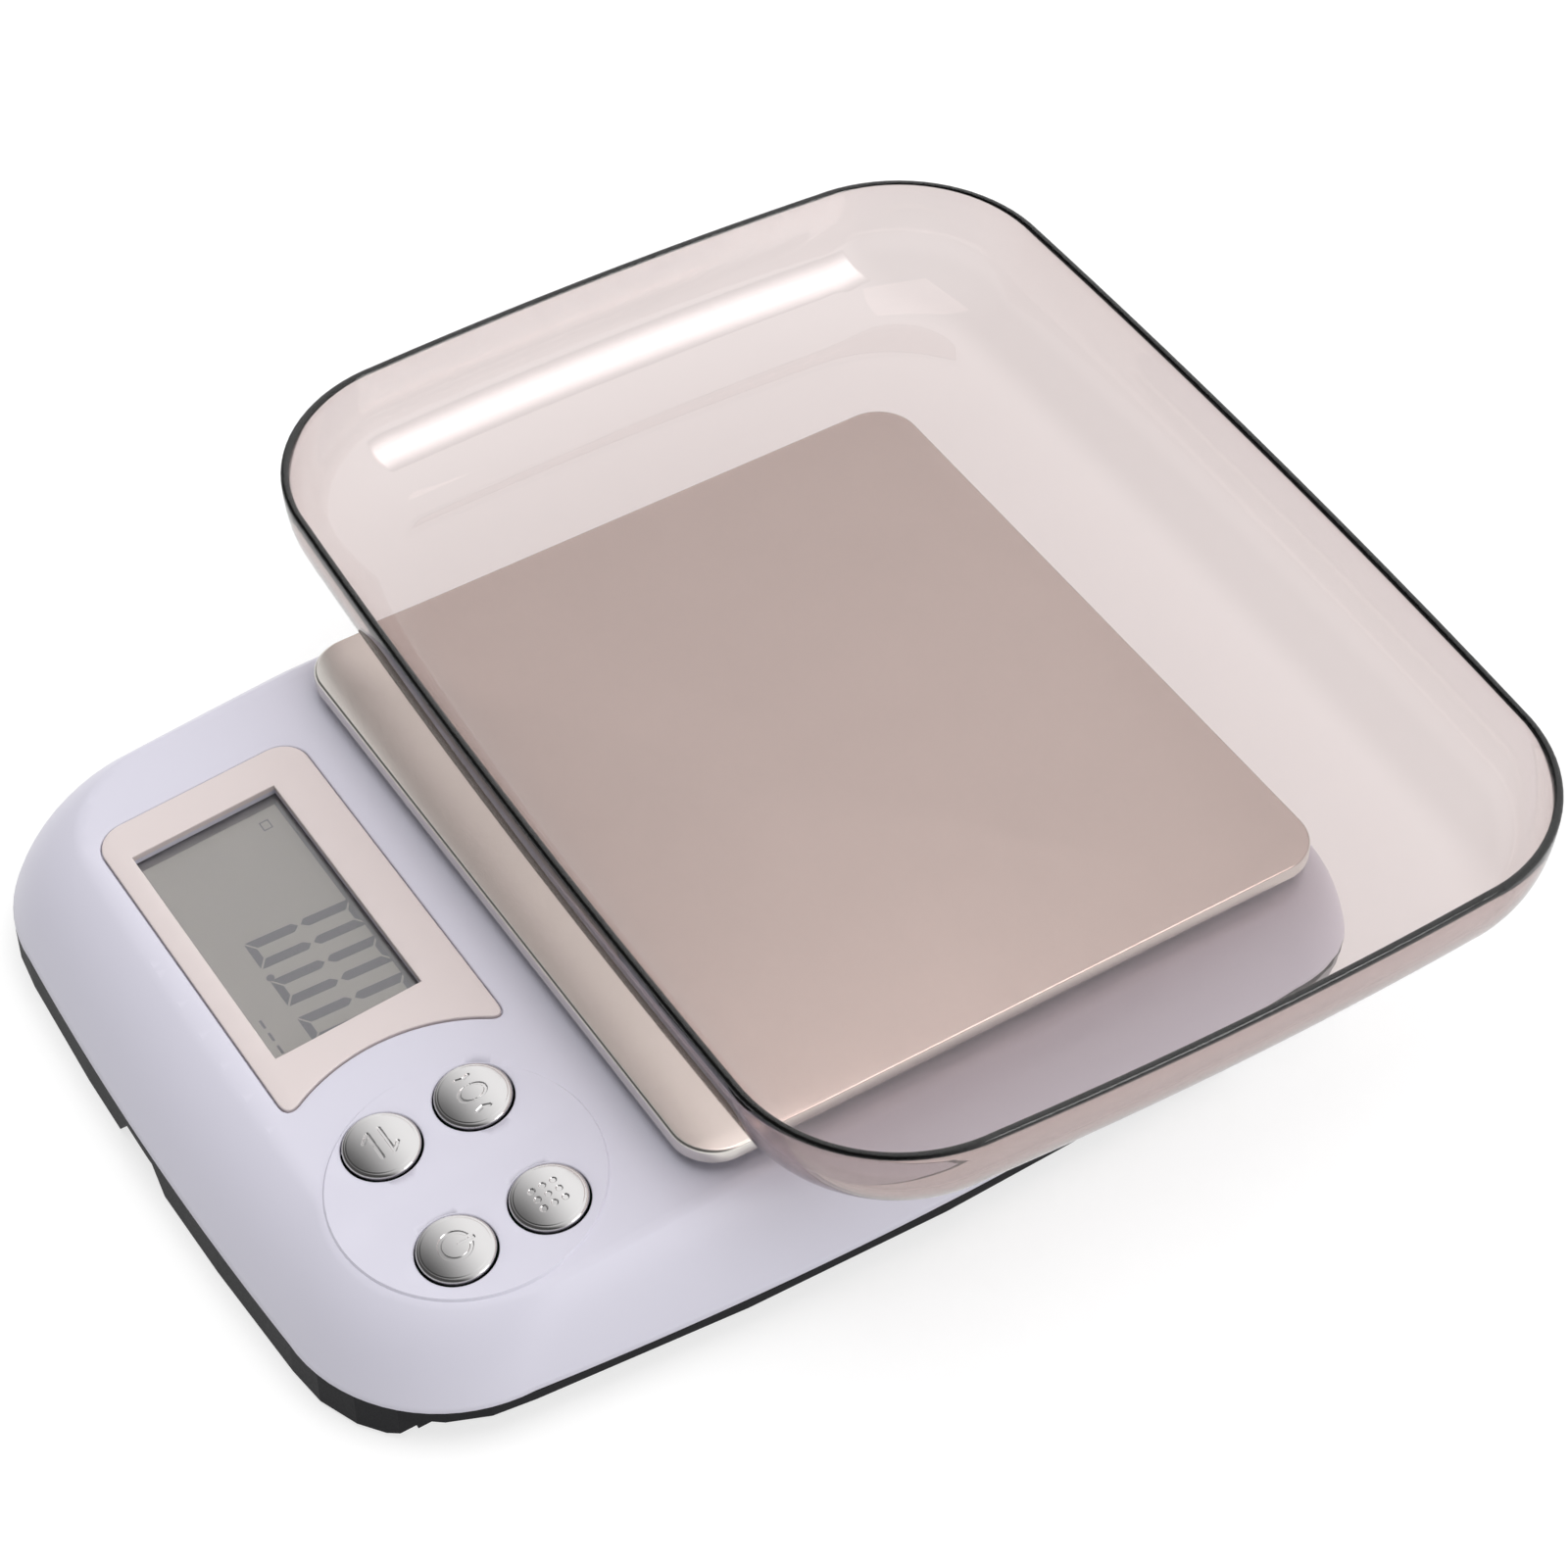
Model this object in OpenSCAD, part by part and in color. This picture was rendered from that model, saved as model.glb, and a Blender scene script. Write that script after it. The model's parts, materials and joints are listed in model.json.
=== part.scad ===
// Counting scale: a low two-shell casing with a tilted control panel, a stainless weighing
// platform on a bar load cell, and a loose clear tray. Millimetres, +Z up, +X to the user's
// right, +Y away from the user, Z = 0 where the feet stand.

/* [Casing] */
// Width across the bowed sides at the parting line
body_w = 179.6; // [174:0.1:186]
// Length front to back at the parting line
body_l = 225.4; // [222:0.1:230]
// Middle of the casing, front to back
body_y = -14.1; // [-16:0.1:-12]
// Radius of the front casing corners
body_r = 32; // [26:1:36]
// Radius of the rear casing corners
rear_r = 22; // [18:1:30]
// How far each long side bulges
side_bow = 4.5; // [0:0.1:6]
// How far the front and the rear bulge
end_bow = 1.8; // [0:0.1:3]
// Height of the underside above the table
base_z = 1; // [1:0.1:3]
// Height where the two shells meet
parting_z = 9; // [8.6:0.1:10]
// Depth of the dark band along the sides
band_h = 2.4; // [2:0.1:3]
// Height of the flat ledge round the platform
ledge_z = 28; // [27:0.1:29]
// Wall thickness of both shells
wall = 2; // [1.6:0.1:2.4]
// Downward tilt of the control panel
panel_tilt = 4.84; // [3:0.01:6]

/* [Weighing platform] */
// Width of the stainless platform
platform_w = 150; // [140:1:154]
// Length of the platform, front to back
platform_l = 140; // [130:1:142]
// Corner radius of the platform
platform_r = 9; // [6:0.5:12]
// Height of the platform top above the table
platform_z = 34; // [33.5:0.1:35]
// Depth of the platform's folded skirt
platform_skirt = 3.2; // [3:0.1:3.6]
// Sheet thickness of the platform
platform_t = 0.8; // [0.6:0.1:1]

/* [Tray] */
// Width of the tray rim
tray_w = 234; // [220:1:240]
// Length of the tray rim, front to back
tray_l = 175.6; // [170:0.1:182]
// Middle of the tray, front to back
tray_y = 38.54; // [30:0.01:42]
// Depth of the tray from the rim to its underside
tray_h = 25.9; // [24:0.1:30]
// How far the tray's curved wall reaches in over the floor
tray_reach = 22; // [18:0.5:23]
// Corner radius of the rim
tray_r = 34; // [30:1:38]
// Wall thickness of the tray
tray_t = 1.6; // [1.4:0.1:2.4]
// How far each tray side bulges
tray_bow = 1.5; // [0:0.1:2]
// How far the loose tray is turned on the platform, clockwise from above
tray_turn = 1.2; // [0:0.1:3]

/* [Panel] */
// Left edge of the display bezel
bezel_x = -62; // [-64:0.1:-60]
// Front edge of the bezel, measured along the panel from the platform
bezel_front = -52.8; // [-54:0.1:-52]
// Rear edge of the bezel, measured along the panel
bezel_rear = -8.6; // [-9.5:0.1:-8]
// Size of the display opening, left to right
window_w = 58.8; // [56:0.1:60]
// Size of the display opening, front to rear
window_l = 30.8; // [29:0.1:32]
// Middle of the display opening along the panel
window_v = -33; // [-34:0.1:-32]
// Middle of the round key pad, left to right
pad_x = 49.5; // [48:0.1:50]
// Middle of the round key pad, along the panel
pad_v = -33.1; // [-34:0.1:-32]
// Radius of the round key pad
pad_r = 25.8; // [24:0.1:26]
// Diameter of a button cap
button_d = 14.5; // [13:0.1:15]
// Gap round a button cap
button_gap = 0.4; // [0.3:0.05:0.5]
// How far a button travels
button_travel = 0.9; // [0.6:0.1:1]

/* [Load cell] */
// Length of the bar
cell_l = 75; // [75:1:80]
// Width and height of the bar
cell_s = 12.7; // [12:0.1:13]
// Underside of the bar above the table
cell_z = 8.6; // [8.6:0.1:9]
// Distance between the two screws at one end of the bar
cell_pitch = 15; // [14:0.5:16]
// Distance from the end of the bar to its first screw
cell_end = 5; // [5:0.5:6]

/* [Battery bay] */
// Length of a battery
battery_l = 44.5; // [43:0.1:45]
// Diameter of a battery
battery_d = 10.5; // [10:0.1:10.8]
// Middle of the bay, front to back
bay_y = 53.5; // [52:0.5:55]
// Travel of the battery door
door_travel = 12; // [8:0.5:12]

/* [Hidden] */
eps = 0.01;
$fn = 64;
tray_power = 2.25;                            // 2 gives the wall an elliptic section, more a squarer one
corner_steps = 6;                             // steps round each corner of a bowed outline
side_steps = 4;                               // steps along each side of a bowed outline
panel_y = body_y + 13 - 51.9;                 // where the tilted panel starts
rear_crease = 88;                             // rear edge of the flat ledge
skirt_mid_z = 17.5;                           // height of the skirt's middle ring
skirt_slope = 40.2;                           // slope of the skirt in front of the panel
crease_w = 155.4;                             // width between the two long creases
crease_r = 22;
crease_rear_r = 16;
mid_inset = 3.6;                              // how far the skirt has moved in halfway up
platform_y = panel_y + platform_l / 2;        // middle of the platform
window_x = bezel_x + 8.8 + window_w / 2;
bezel_r = 6;
bezel_arc = 36.5;                             // concave right end of the bezel
bezel_tip = 2.5;                              // rounding of the two tips beside it
bezel_seat = 1;
bezel_t = 1.3;
pad_rise = 0.45;
cap_rise = 1.5;                               // crown of a cap above the pad
lip_d = 17.4;                                 // retaining lip under a cap
lip_top = -wall - 0.3;
lip_t = 0.8;
board_top = -8.6;                             // parts below are measured down from the panel
board_t = 1.6;
switch_h = 3.5;
plunger_top = -3.9;
plunger_l = 2.7;
plunger_d = 3.5;
cell_y = platform_y;                          // the bar lies under the platform's middle
cell_top = cell_z + cell_s;
spacer_t = 1.5;
hole_far = cell_l / 2 - cell_end;
hole_near = hole_far - cell_pitch;
end_mid = (hole_far + hole_near) / 2;
load_screw_d = 4.8;
load_head_d = 8.6;
load_head_h = 2.4;
boss_r = 6.2;                                 // round ends of the carrier's boss
carrier_z = platform_z - platform_t - 2.2;
cell_w = 53;                                  // inside of the battery bay
bay_l = 23;
bay_top = 15.8;
battery_z = 10.3;
battery_pitch = 11.4;
door_w = 55;
door_l = 25;
door_t = 2;
rail_w = 1.5;
slack = 0.3;                                  // clearance round sliding pieces
foot_d = 13;
foot_at = [[-66, -100], [66, -100]];
screw_at = [[-45, -116], [45, -116], [-62, 70], [62, 70]];
screw_d = 2.9;
screw_head_d = 5.6;
screw_l = 9.8;                                // shank below the head
post_d = 7.4;
board_post_at = [[-63, -15], [-63, -51], [48.2, -11], [48.2, -54]];
// each button: left-right, along the panel
at_unit = [34.5, -42.05];
at_zero = [34.5, -22.98];
at_power = [61.8, -42.05];
at_count = [61.8, -22.98];
keys = [at_unit, at_zero, at_power, at_count];

// ---- outlines and placing ----

// Points of a quarter circle round a corner's middle point.
function quarter(x, y, r, from) =
    [for (i = [0 : corner_steps - 1]) let (a = from + 90 * i / corner_steps) [x + r * cos(a), y + r * sin(a)]];

// Points round a rectangle with sides that bulge outwards; rear is the radius of its two rear corners.
function bowed(w, l, r, rear, bow_x, bow_y) =
    let (hx = w / 2 - bow_x, hy = l / 2 - bow_y,
         steps = [for (i = [0 : side_steps - 1]) -1 + 2 * i / side_steps],
         long_mid = (r - rear) / 2, long_half = hy - (r + rear) / 2)
    concat(
        [for (t = steps) [w / 2 - bow_x * t * t, long_mid + t * long_half]],
        quarter(hx - rear, hy - rear, rear, 0),
        [for (t = steps) [-t * (hx - rear), l / 2 - bow_y * t * t]],
        quarter(rear - hx, hy - rear, rear, 90),
        [for (t = steps) [bow_x * t * t - w / 2, long_mid - t * long_half]],
        quarter(r - hx, r - hy, r, 180),
        [for (t = steps) [t * (hx - r), bow_y * t * t - l / 2]],
        quarter(hx - r, r - hy, r, 270));

module body_outline(inset = 0) {
    translate([0, body_y])
        polygon(bowed(body_w - 2 * inset, body_l - 2 * inset, body_r - inset, rear_r - inset,
                      side_bow, end_bow));
}

module slab(z, h) {
    translate([0, 0, z]) linear_extrude(h) children();
}

module round_rect(w, l, r) {
    square([w - 2 * r, l], center = true);
    square([w, l - 2 * r], center = true);
    for (x = [r - w / 2, w / 2 - r], y = [r - l / 2, l / 2 - r]) translate([x, y]) circle(r);
}

module oblong(pitch, r) {
    square([pitch, 2 * r], center = true);
    for (x = [-pitch / 2, pitch / 2]) translate([x, 0]) circle(r);
}

// Places its children on the control panel: x left to right, y along it, z out of it.
module on_panel() {
    translate([0, panel_y, ledge_z]) rotate([panel_tilt, 0, 0]) children();
}

module box_on_panel(x, v, w, l, low, high) {
    on_panel() translate([x - w / 2, v - l / 2, low]) cube([w, l, high - low]);
}

// A closed shell through a list of rings that have the same number of points.
module stacked(rings) {
    n = len(rings[0]);
    last = len(rings) - 1;
    points = [for (ring = rings, p = ring) p];
    side = [for (i = [0 : last - 1], k = [0 : n - 1])
        let (j = (k + 1) % n, low = i * n, high = (i + 1) * n)
        each [[low + k, high + k, high + j], [low + k, high + j, low + j]]];
    polyhedron(points = points,
               faces = concat([[for (k = [0 : n - 1]) k]], side,
                              [[for (k = [0 : n - 1]) last * n + n - 1 - k]]),
               convexity = 6);
}

function lifted(outline, y, z) = [for (p = outline) [p[0], p[1] + y, z]];

// One level ring of the upper shell's skirt.
function skirt_ring(w, front, rear, r, r_rear, z) =
    lifted(bowed(w, rear - front, r, r_rear, side_bow * w / body_w, end_bow), (front + rear) / 2, z);

// The upper shell as one solid: a stack of rings cut by the flat ledge and the tilted panel.
module casing_form(inset, foot) {
    front = body_y - body_l / 2 + inset;
    rear = body_y + body_l / 2 - inset;
    low_w = body_w - 2 * inset;
    low_r = body_r - inset;
    low_rear_r = rear_r - inset;
    top_w = crease_w - 2 * inset - 1;
    cut_z = ledge_z - inset;
    difference() {
        stacked([
            skirt_ring(low_w, front, rear, low_r, low_rear_r, foot),
            skirt_ring(low_w, front, rear, low_r, low_rear_r, parting_z + 1),
            skirt_ring(low_w - 2 * mid_inset, front + 9, rear - 3, low_r - 3, low_rear_r - 3, skirt_mid_z),
            skirt_ring(top_w, front + 26.5, rear_crease - inset, crease_r - inset, crease_rear_r - inset,
                       ledge_z + 0.6)]);
        translate([-body_w, -2 * body_l, cut_z]) cube([2 * body_w, 4 * body_l, 20]);
        translate([0, panel_y, cut_z]) rotate([panel_tilt, 0, 0])
            translate([-body_w, -body_l, 0]) cube([2 * body_w, body_l, 40]);
    }
}

// A tube swept along a list of points.
module swept(path, r, sides = 8) {
    n = len(path);
    last = n - 1;
    rings = [for (i = [0 : last])
        let (a = path[max(0, i - 1)], b = path[min(last, i + 1)], d = (b - a) / norm(b - a),
             up = abs(d[2]) > 0.9 ? [1, 0, 0] : [0, 0, 1],
             u0 = cross(up, d), u = u0 / norm(u0), v = cross(d, u))
        for (k = [0 : sides - 1]) path[i] + r * cos(360 * k / sides) * u + r * sin(360 * k / sides) * v];
    skin = [for (i = [0 : last - 1], k = [0 : sides - 1])
        let (j = (k + 1) % sides, low = i * sides, high = low + sides)
        [low + k, high + k, high + j, low + j]];
    polyhedron(points = rings,
               faces = concat([[for (k = [0 : sides - 1]) k]], skin,
                              [[for (k = [0 : sides - 1]) last * sides + sides - 1 - k]]),
               convexity = 6);
}

module pan_screw(head_d, head_h, shank_d, shank_l) {
    difference() {
        cylinder(d = head_d, h = head_h);
        for (a = [0, 90]) rotate([0, 0, a])
            translate([-head_d / 4, -0.4, -eps]) cube([head_d / 2, 0.8, head_h / 2]);
    }
    translate([0, 0, head_h - eps]) cylinder(d = shank_d, h = shank_l + eps);
}

// ---- casing ----

// Outline of the display bezel, larger or smaller by grow.
module bezel_outline(grow = 0) {
    mid_v = (bezel_front + bezel_rear) / 2;
    right_x = 24;
    offset(r = bezel_tip) offset(delta = -bezel_tip) difference() {
        translate([(bezel_x + right_x) / 2, mid_v])
            round_rect(right_x - bezel_x + 2 * grow, bezel_rear - bezel_front + 2 * grow, bezel_r + grow);
        translate([pad_x, pad_v]) circle(bezel_arc - grow, $fn = 96);
    }
}

module top_casing() {
    color([0.85, 0.845, 0.905]) difference() {
        union() {
            difference() {
                union() {
                    casing_form(0, parting_z);
                    on_panel() translate([pad_x, pad_v, -wall - 2])
                        cylinder(r = pad_r, h = pad_rise + wall + 2, $fn = 96);
                }
                casing_form(wall, parting_z - 1);
            }
            casing_posts();
            board_posts();
        }
        on_panel() translate([0, 0, -bezel_seat]) linear_extrude(3) bezel_outline(slack);
        box_on_panel(window_x, window_v, window_w, window_l, -wall - 1, 1);
        on_panel() for (k = keys) translate([k[0], k[1], -wall - 3])
            cylinder(d = button_d + 2 * button_gap, h = wall + 6);
        slab(ledge_z - wall - 2, wall + 4) translate([-end_mid, cell_y]) oblong(cell_pitch, boss_r + 2);
        for (p = screw_at) translate([p[0], p[1], parting_z - 1]) cylinder(d = screw_d + 0.1, h = 8);
        on_panel() for (p = board_post_at) translate([p[0], p[1], board_top - 1]) cylinder(d = 2.1, h = 5);
    }
}

// Screw posts of the upper shell: the front pair is cut off along the skirt's slope.
module casing_posts() {
    difference() {
        for (p = screw_at) translate([p[0], p[1], parting_z]) cylinder(d = post_d, h = ledge_z - parting_z - 1);
        translate([-body_w, body_y - body_l / 2 + 1.5, parting_z]) rotate([skirt_slope, 0, 0])
            translate([0, -20, 0]) cube([2 * body_w, 50, 60]);
    }
}

module board_posts() {
    on_panel() for (p = board_post_at) translate([p[0], p[1], board_top])
        cylinder(d = 5, h = -board_top - wall / 2);
}

// Finger scoops under both sides and under the front corners.
module grip_cuts() {
    low = base_z - 1;
    high = parting_z - band_h;
    for (s = [0, 1]) mirror([s, 0, 0]) {
        translate([76, 0, 0]) rotate([90, 0, 90])
            linear_extrude(30) polygon([[-135, low], [66, low], [39, high], [-135, high]]);
        translate([0, -112, 0]) rotate([90, 0, 0])
            linear_extrude(30) polygon([[72, low], [95, low], [95, high], [84, high]]);
    }
}

// Space that a rear corner skid fills, in plan.
module skid_plan(inset = 0) {
    intersection() {
        difference() {
            body_outline(inset);
            body_outline(6);
        }
        for (s = [-1, 1]) translate([s * 76, 82]) square([52, 50], center = true);
    }
}

module pocket() {
    difference() {
        slab(base_z + wall, parting_z) intersection() {
            body_outline(2.8);
            union() {
                translate([-74, -110]) square([148, 250]);
                translate([-50, -140]) square([100, 60]);
            }
        }
        for (p = screw_at) translate([p[0], p[1], 0]) cylinder(d = post_d, h = parting_z);
        for (s = [-1, 1]) translate([s * 76, 86, 0]) cube([40, 36, 40], center = true);
        slab(base_z, cell_z - spacer_t - base_z) translate([end_mid, cell_y]) oblong(cell_pitch, boss_r + 3);
        translate([-hole_far, cell_y, 0]) cylinder(r = 4, h = cell_z - 2);
        translate([-cell_w / 2 - wall, bay_y - bay_l / 2 - wall, 0])
            cube([cell_w + 2 * wall, bay_l + 2 * wall, bay_top + 20]);
        translate([-door_w / 2 - 4, bay_y - door_l / 2 - 3, 0])
            cube([door_w + 8, door_l + door_travel + 6, base_z + 3.6]);
    }
}

module lower_casing() {
    deep = parting_z - base_z;
    bay_low = bay_y - bay_l / 2;
    door_low = bay_y - door_l / 2 - slack;
    recess_l = door_l + door_travel + 2 * slack + 0.2;
    notch_x = -3.5;
    color([0.235, 0.235, 0.245]) difference() {
        union() {
            slab(base_z, deep) body_outline(0);
            translate([-cell_w / 2 - wall, bay_low - wall, base_z])
                cube([cell_w + 2 * wall, bay_l + 2 * wall, bay_top + 1.5 - base_z]);
        }
        pocket();
        grip_cuts();
        slab(base_z - 1, 1 + parting_z - band_h - base_z) skid_plan(-1);
        translate([notch_x, body_y - body_l / 2 + 2, 0]) rotate([90, 0, 0])
            linear_extrude(10) polygon([[-10, 0], [10, 0], [5.5, parting_z - band_h], [-5.5, parting_z - band_h]]);
        for (p = foot_at) translate([p[0], p[1], 0]) cylinder(d = foot_d, h = base_z + 1);
        for (p = screw_at) translate([p[0], p[1], 0]) {
            cylinder(d = screw_head_d + 0.8, h = base_z + 3);
            cylinder(d = screw_d + 0.5, h = parting_z + 2);
        }
        for (x = [hole_near, hole_far]) translate([x, cell_y, 0]) {
            cylinder(d = load_head_d + 0.8, h = base_z + 2.9);
            cylinder(d = load_screw_d + 0.4, h = cell_z);
        }
        translate([-hole_far, cell_y, 0]) cylinder(d = 4.1, h = cell_z);
        translate([-cell_w / 2, bay_low, 0]) cube([cell_w, bay_l, bay_top]);
        translate([-door_w / 2 - slack, door_low, 0])
            cube([door_w + 2 * slack, recess_l, base_z + door_t + slack]);
        translate([-door_w / 2 - rail_w - slack, door_low, base_z + 0.7])
            cube([door_w + 2 * (rail_w + slack), recess_l, door_t - 0.7 + slack]);
    }
}

module foot(at) {
    color([0.16, 0.16, 0.165]) translate([at[0], at[1], 0]) difference() {
        union() {
            cylinder(d1 = foot_d - 2.4, d2 = foot_d - 0.4, h = 0.8, $fn = 64);
            translate([0, 0, 0.8 - eps]) cylinder(d = foot_d - 0.4, h = base_z + 0.2 + eps);
        }
        translate([0, 0, -eps]) cylinder(d = 5, h = 0.5);
    }
}

// Rear corner skid: it carries the rear of the scale and closes the corner of the lower shell.
module corner_skid(s) {
    color([0.56, 0.565, 0.58]) intersection() {
        union() {
            slab(base_z, parting_z - band_h - base_z) skid_plan(0);
            slab(0, base_z + eps) intersection() {
                body_outline(3);
                skid_plan(0);
            }
        }
        translate([s > 0 ? 0 : -200, -200, -1]) cube([200, 400, 40]);
    }
}

module casing_screws() {
    color([0.62, 0.63, 0.65]) for (p = screw_at) translate([p[0], p[1], base_z + 1])
        pan_screw(screw_head_d, 2, screw_d, screw_l);
}

// ---- display ----

module display_bezel() {
    color([0.885, 0.845, 0.835]) on_panel() difference() {
        translate([0, 0, -bezel_seat]) linear_extrude(bezel_t) bezel_outline(0);
        translate([window_x - window_w / 2, window_v - window_l / 2, -bezel_seat - 1])
            cube([window_w, window_l, 5]);
    }
}

module display_window() {
    color([0.9, 0.92, 0.93, 0.4]) box_on_panel(window_x, window_v, 64, 36, -3, -wall);
}

// Glass sandwich of the display: the front glass is shorter than the rear one.
module lcd_panel() {
    color([0.61, 0.605, 0.57]) {
        box_on_panel(window_x, window_v, 64, 32.6, -4.2, -3);
        box_on_panel(window_x, window_v, 64, 36, -5.4, -4.2);
    }
}

module lcd_holder() {
    color([0.93, 0.93, 0.92]) difference() {
        box_on_panel(window_x, window_v, 68, 40, board_top, -wall);
        box_on_panel(window_x, window_v, 64.4, 36.4, -5.4, 0);
        for (s = [-1, 1]) box_on_panel(window_x, window_v + s * 16.2, 60.6, 2.2, board_top - 1, -5);
        box_on_panel(window_x, window_v, 56, 26, board_top - 1, -6.4);
    }
}

module zebra_strips() {
    color([0.2, 0.2, 0.22]) for (s = [-1, 1])
        box_on_panel(window_x, window_v + s * 16.2, 60, 1.8, board_top, -5.4);
}

module main_board() {
    color([0.13, 0.42, 0.25]) difference() {
        box_on_panel(3, -33, 140, 46, board_top - board_t, board_top);
        on_panel() for (p = board_post_at) translate([p[0], p[1], board_top - 3]) cylinder(d = 2.3, h = 5);
    }
}

module board_screws() {
    color([0.62, 0.63, 0.65]) on_panel() for (p = board_post_at)
        translate([p[0], p[1], board_top - board_t - 1.4]) pan_screw(4, 1.4, 2, board_t + 3.4);
}

module controller_blob() {
    color([0.08, 0.08, 0.08]) on_panel() translate([-20, -33, board_top - board_t - 1.2]) {
        cylinder(d1 = 9, d2 = 13, h = 1.2);
    }
}

module key_switches() {
    color([0.2, 0.2, 0.21]) for (k = keys) difference() {
        box_on_panel(k[0], k[1], 6, 6, board_top, board_top + switch_h);
        on_panel() translate([k[0], k[1], plunger_top - plunger_l - button_travel - 0.3])
            cylinder(d = plunger_d + 0.6, h = 8);
    }
}

// ---- buttons ----

module plunger(k) {
    color([0.9, 0.88, 0.82]) on_panel() translate([k[0], k[1], plunger_top - plunger_l])
        cylinder(d = plunger_d, h = plunger_l);
}

// Crowned cap, retaining lip and stem; the mark stays inside a square of side 6.
module button(k) {
    crown = 0.9;
    side_top = pad_rise + cap_rise - crown;
    dome_r = (button_d * button_d / 4 + crown * crown) / (2 * crown);
    color([0.78, 0.78, 0.79]) on_panel() translate([k[0], k[1], 0]) difference() {
        union() {
            translate([0, 0, lip_top - eps]) cylinder(d = button_d, h = side_top - lip_top + eps);
            intersection() {
                translate([0, 0, side_top + crown - dome_r]) sphere(dome_r, $fn = 96);
                translate([0, 0, side_top - 0.1]) cylinder(d = button_d, h = 4);
            }
            translate([0, 0, lip_top - lip_t]) cylinder(d = lip_d, h = lip_t);
            translate([0, 0, plunger_top]) cylinder(d = 4, h = lip_top - plunger_top);
        }
        translate([0, 0, side_top + crown - 0.35]) linear_extrude(3) children();
    }
}

// A ring with a gap and a bar.
module mark_power() {
    difference() {
        circle(2.6);
        circle(1.9);
        translate([-0.8, 0]) square([1.6, 4]);
    }
    translate([-0.35, 0.6]) square([0.7, 2.6]);
}

// Two arrows in opposite directions.
module mark_unit() {
    for (a = [0, 180]) rotate([0, 0, a]) {
        translate([-2.8, 0.7]) square([4, 0.7]);
        translate([1.2, 0.1]) polygon([[0, 0], [1.7, 0.95], [0, 1.9]]);
    }
}

// An oval nought.
module mark_zero() {
    difference() {
        round_rect(3.6, 5.4, 1.8);
        round_rect(2.2, 4, 1.1);
    }
}

// Six small counters in two rows.
module mark_count() {
    for (x = [-1.9, 0, 1.9], y = [-1, 1]) translate([x, y]) circle(0.62);
}

module button_unit() { button(at_unit) mark_unit(); }
module button_zero() { button(at_zero) mark_zero(); }
module button_power() { button(at_power) mark_power(); }
module button_count() { button(at_count) mark_count(); }
module plunger_unit() { plunger(at_unit); }
module plunger_zero() { plunger(at_zero); }
module plunger_power() { plunger(at_power); }
module plunger_count() { plunger(at_count); }

// ---- platform and load cell ----

module weighing_platform() {
    color([0.8, 0.75, 0.715]) translate([0, platform_y, 0]) difference() {
        slab(platform_z - platform_skirt, platform_skirt) round_rect(platform_w, platform_l, platform_r);
        slab(platform_z - platform_skirt - 1, platform_skirt + 1 - platform_t)
            round_rect(platform_w - 2 * platform_t, platform_l - 2 * platform_t, platform_r - platform_t);
    }
}

module platform_carrier() {
    inset = platform_t + 0.2;
    boss_low = cell_top + spacer_t;
    color([0.75, 0.75, 0.77]) difference() {
        union() {
            translate([0, platform_y, 0]) slab(carrier_z, 2.2)
                round_rect(platform_w - 2 * inset, platform_l - 2 * inset, platform_r - inset);
            slab(boss_low, carrier_z - boss_low + eps)
                translate([-end_mid, cell_y]) oblong(cell_pitch, boss_r);
        }
        for (x = [-hole_near, -hole_far]) translate([x, cell_y, 0]) {
            cylinder(d = load_screw_d + 0.4, h = platform_z);
            translate([0, 0, carrier_z - load_head_h]) cylinder(d = load_head_d + 0.8, h = 8);
        }
    }
}

// Bar with two joined round windows that let it bend.
module load_cell() {
    color([0.8, 0.81, 0.83]) difference() {
        translate([-cell_l / 2, cell_y - cell_s / 2, cell_z]) cube([cell_l, cell_s, cell_s]);
        for (s = [-1, 1]) {
            translate([s * 5.5, cell_y + cell_s, cell_z + cell_s / 2]) rotate([90, 0, 0])
                cylinder(d = 10.2, h = 2 * cell_s);
            for (x = [hole_near, hole_far]) translate([s * x, cell_y, cell_z - 1])
                cylinder(d = load_screw_d + 0.1, h = cell_s + 2);
        }
        translate([-5.5, cell_y - cell_s, cell_z + cell_s / 2 - 2]) cube([11, 2 * cell_s, 4]);
    }
}

module strain_gauges() {
    color([0.95, 0.95, 0.92]) {
        translate([-9, cell_y - 4.5, cell_top]) cube([18, 9, 0.8]);
        translate([-9, cell_y - 4.5, cell_z - 0.8]) cube([18, 9, 0.8]);
    }
}

module load_spacer(x, z) {
    color([0.7, 0.7, 0.7]) difference() {
        slab(z, spacer_t) translate([x, cell_y]) oblong(cell_pitch, boss_r);
        for (s = [-1, 1]) translate([x + s * cell_pitch / 2, cell_y, z - 1])
            cylinder(d = load_screw_d + 0.4, h = 4);
    }
}

module load_screws_fixed() {
    color([0.55, 0.55, 0.57]) for (x = [hole_near, hole_far])
        translate([x, cell_y, base_z + 2.9 - load_head_h])
            pan_screw(load_head_d, load_head_h, load_screw_d, 10);
}

module load_screws_free() {
    color([0.55, 0.55, 0.57]) for (x = [-hole_near, -hole_far]) translate([x, cell_y, carrier_z])
        rotate([180, 0, 0]) pan_screw(load_head_d, load_head_h, load_screw_d, 17);
}

// Stop that catches the free end of the bar when the platform is overloaded.
module overload_stop() {
    color([0.5, 0.5, 0.52]) translate([-hole_far, cell_y, base_z + 0.4]) difference() {
        cylinder(d = 4, h = cell_z - 0.6 - base_z - 0.4);
        translate([-1.6, -0.4, -eps]) cube([3.2, 0.8, 0.8]);
    }
}

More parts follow.
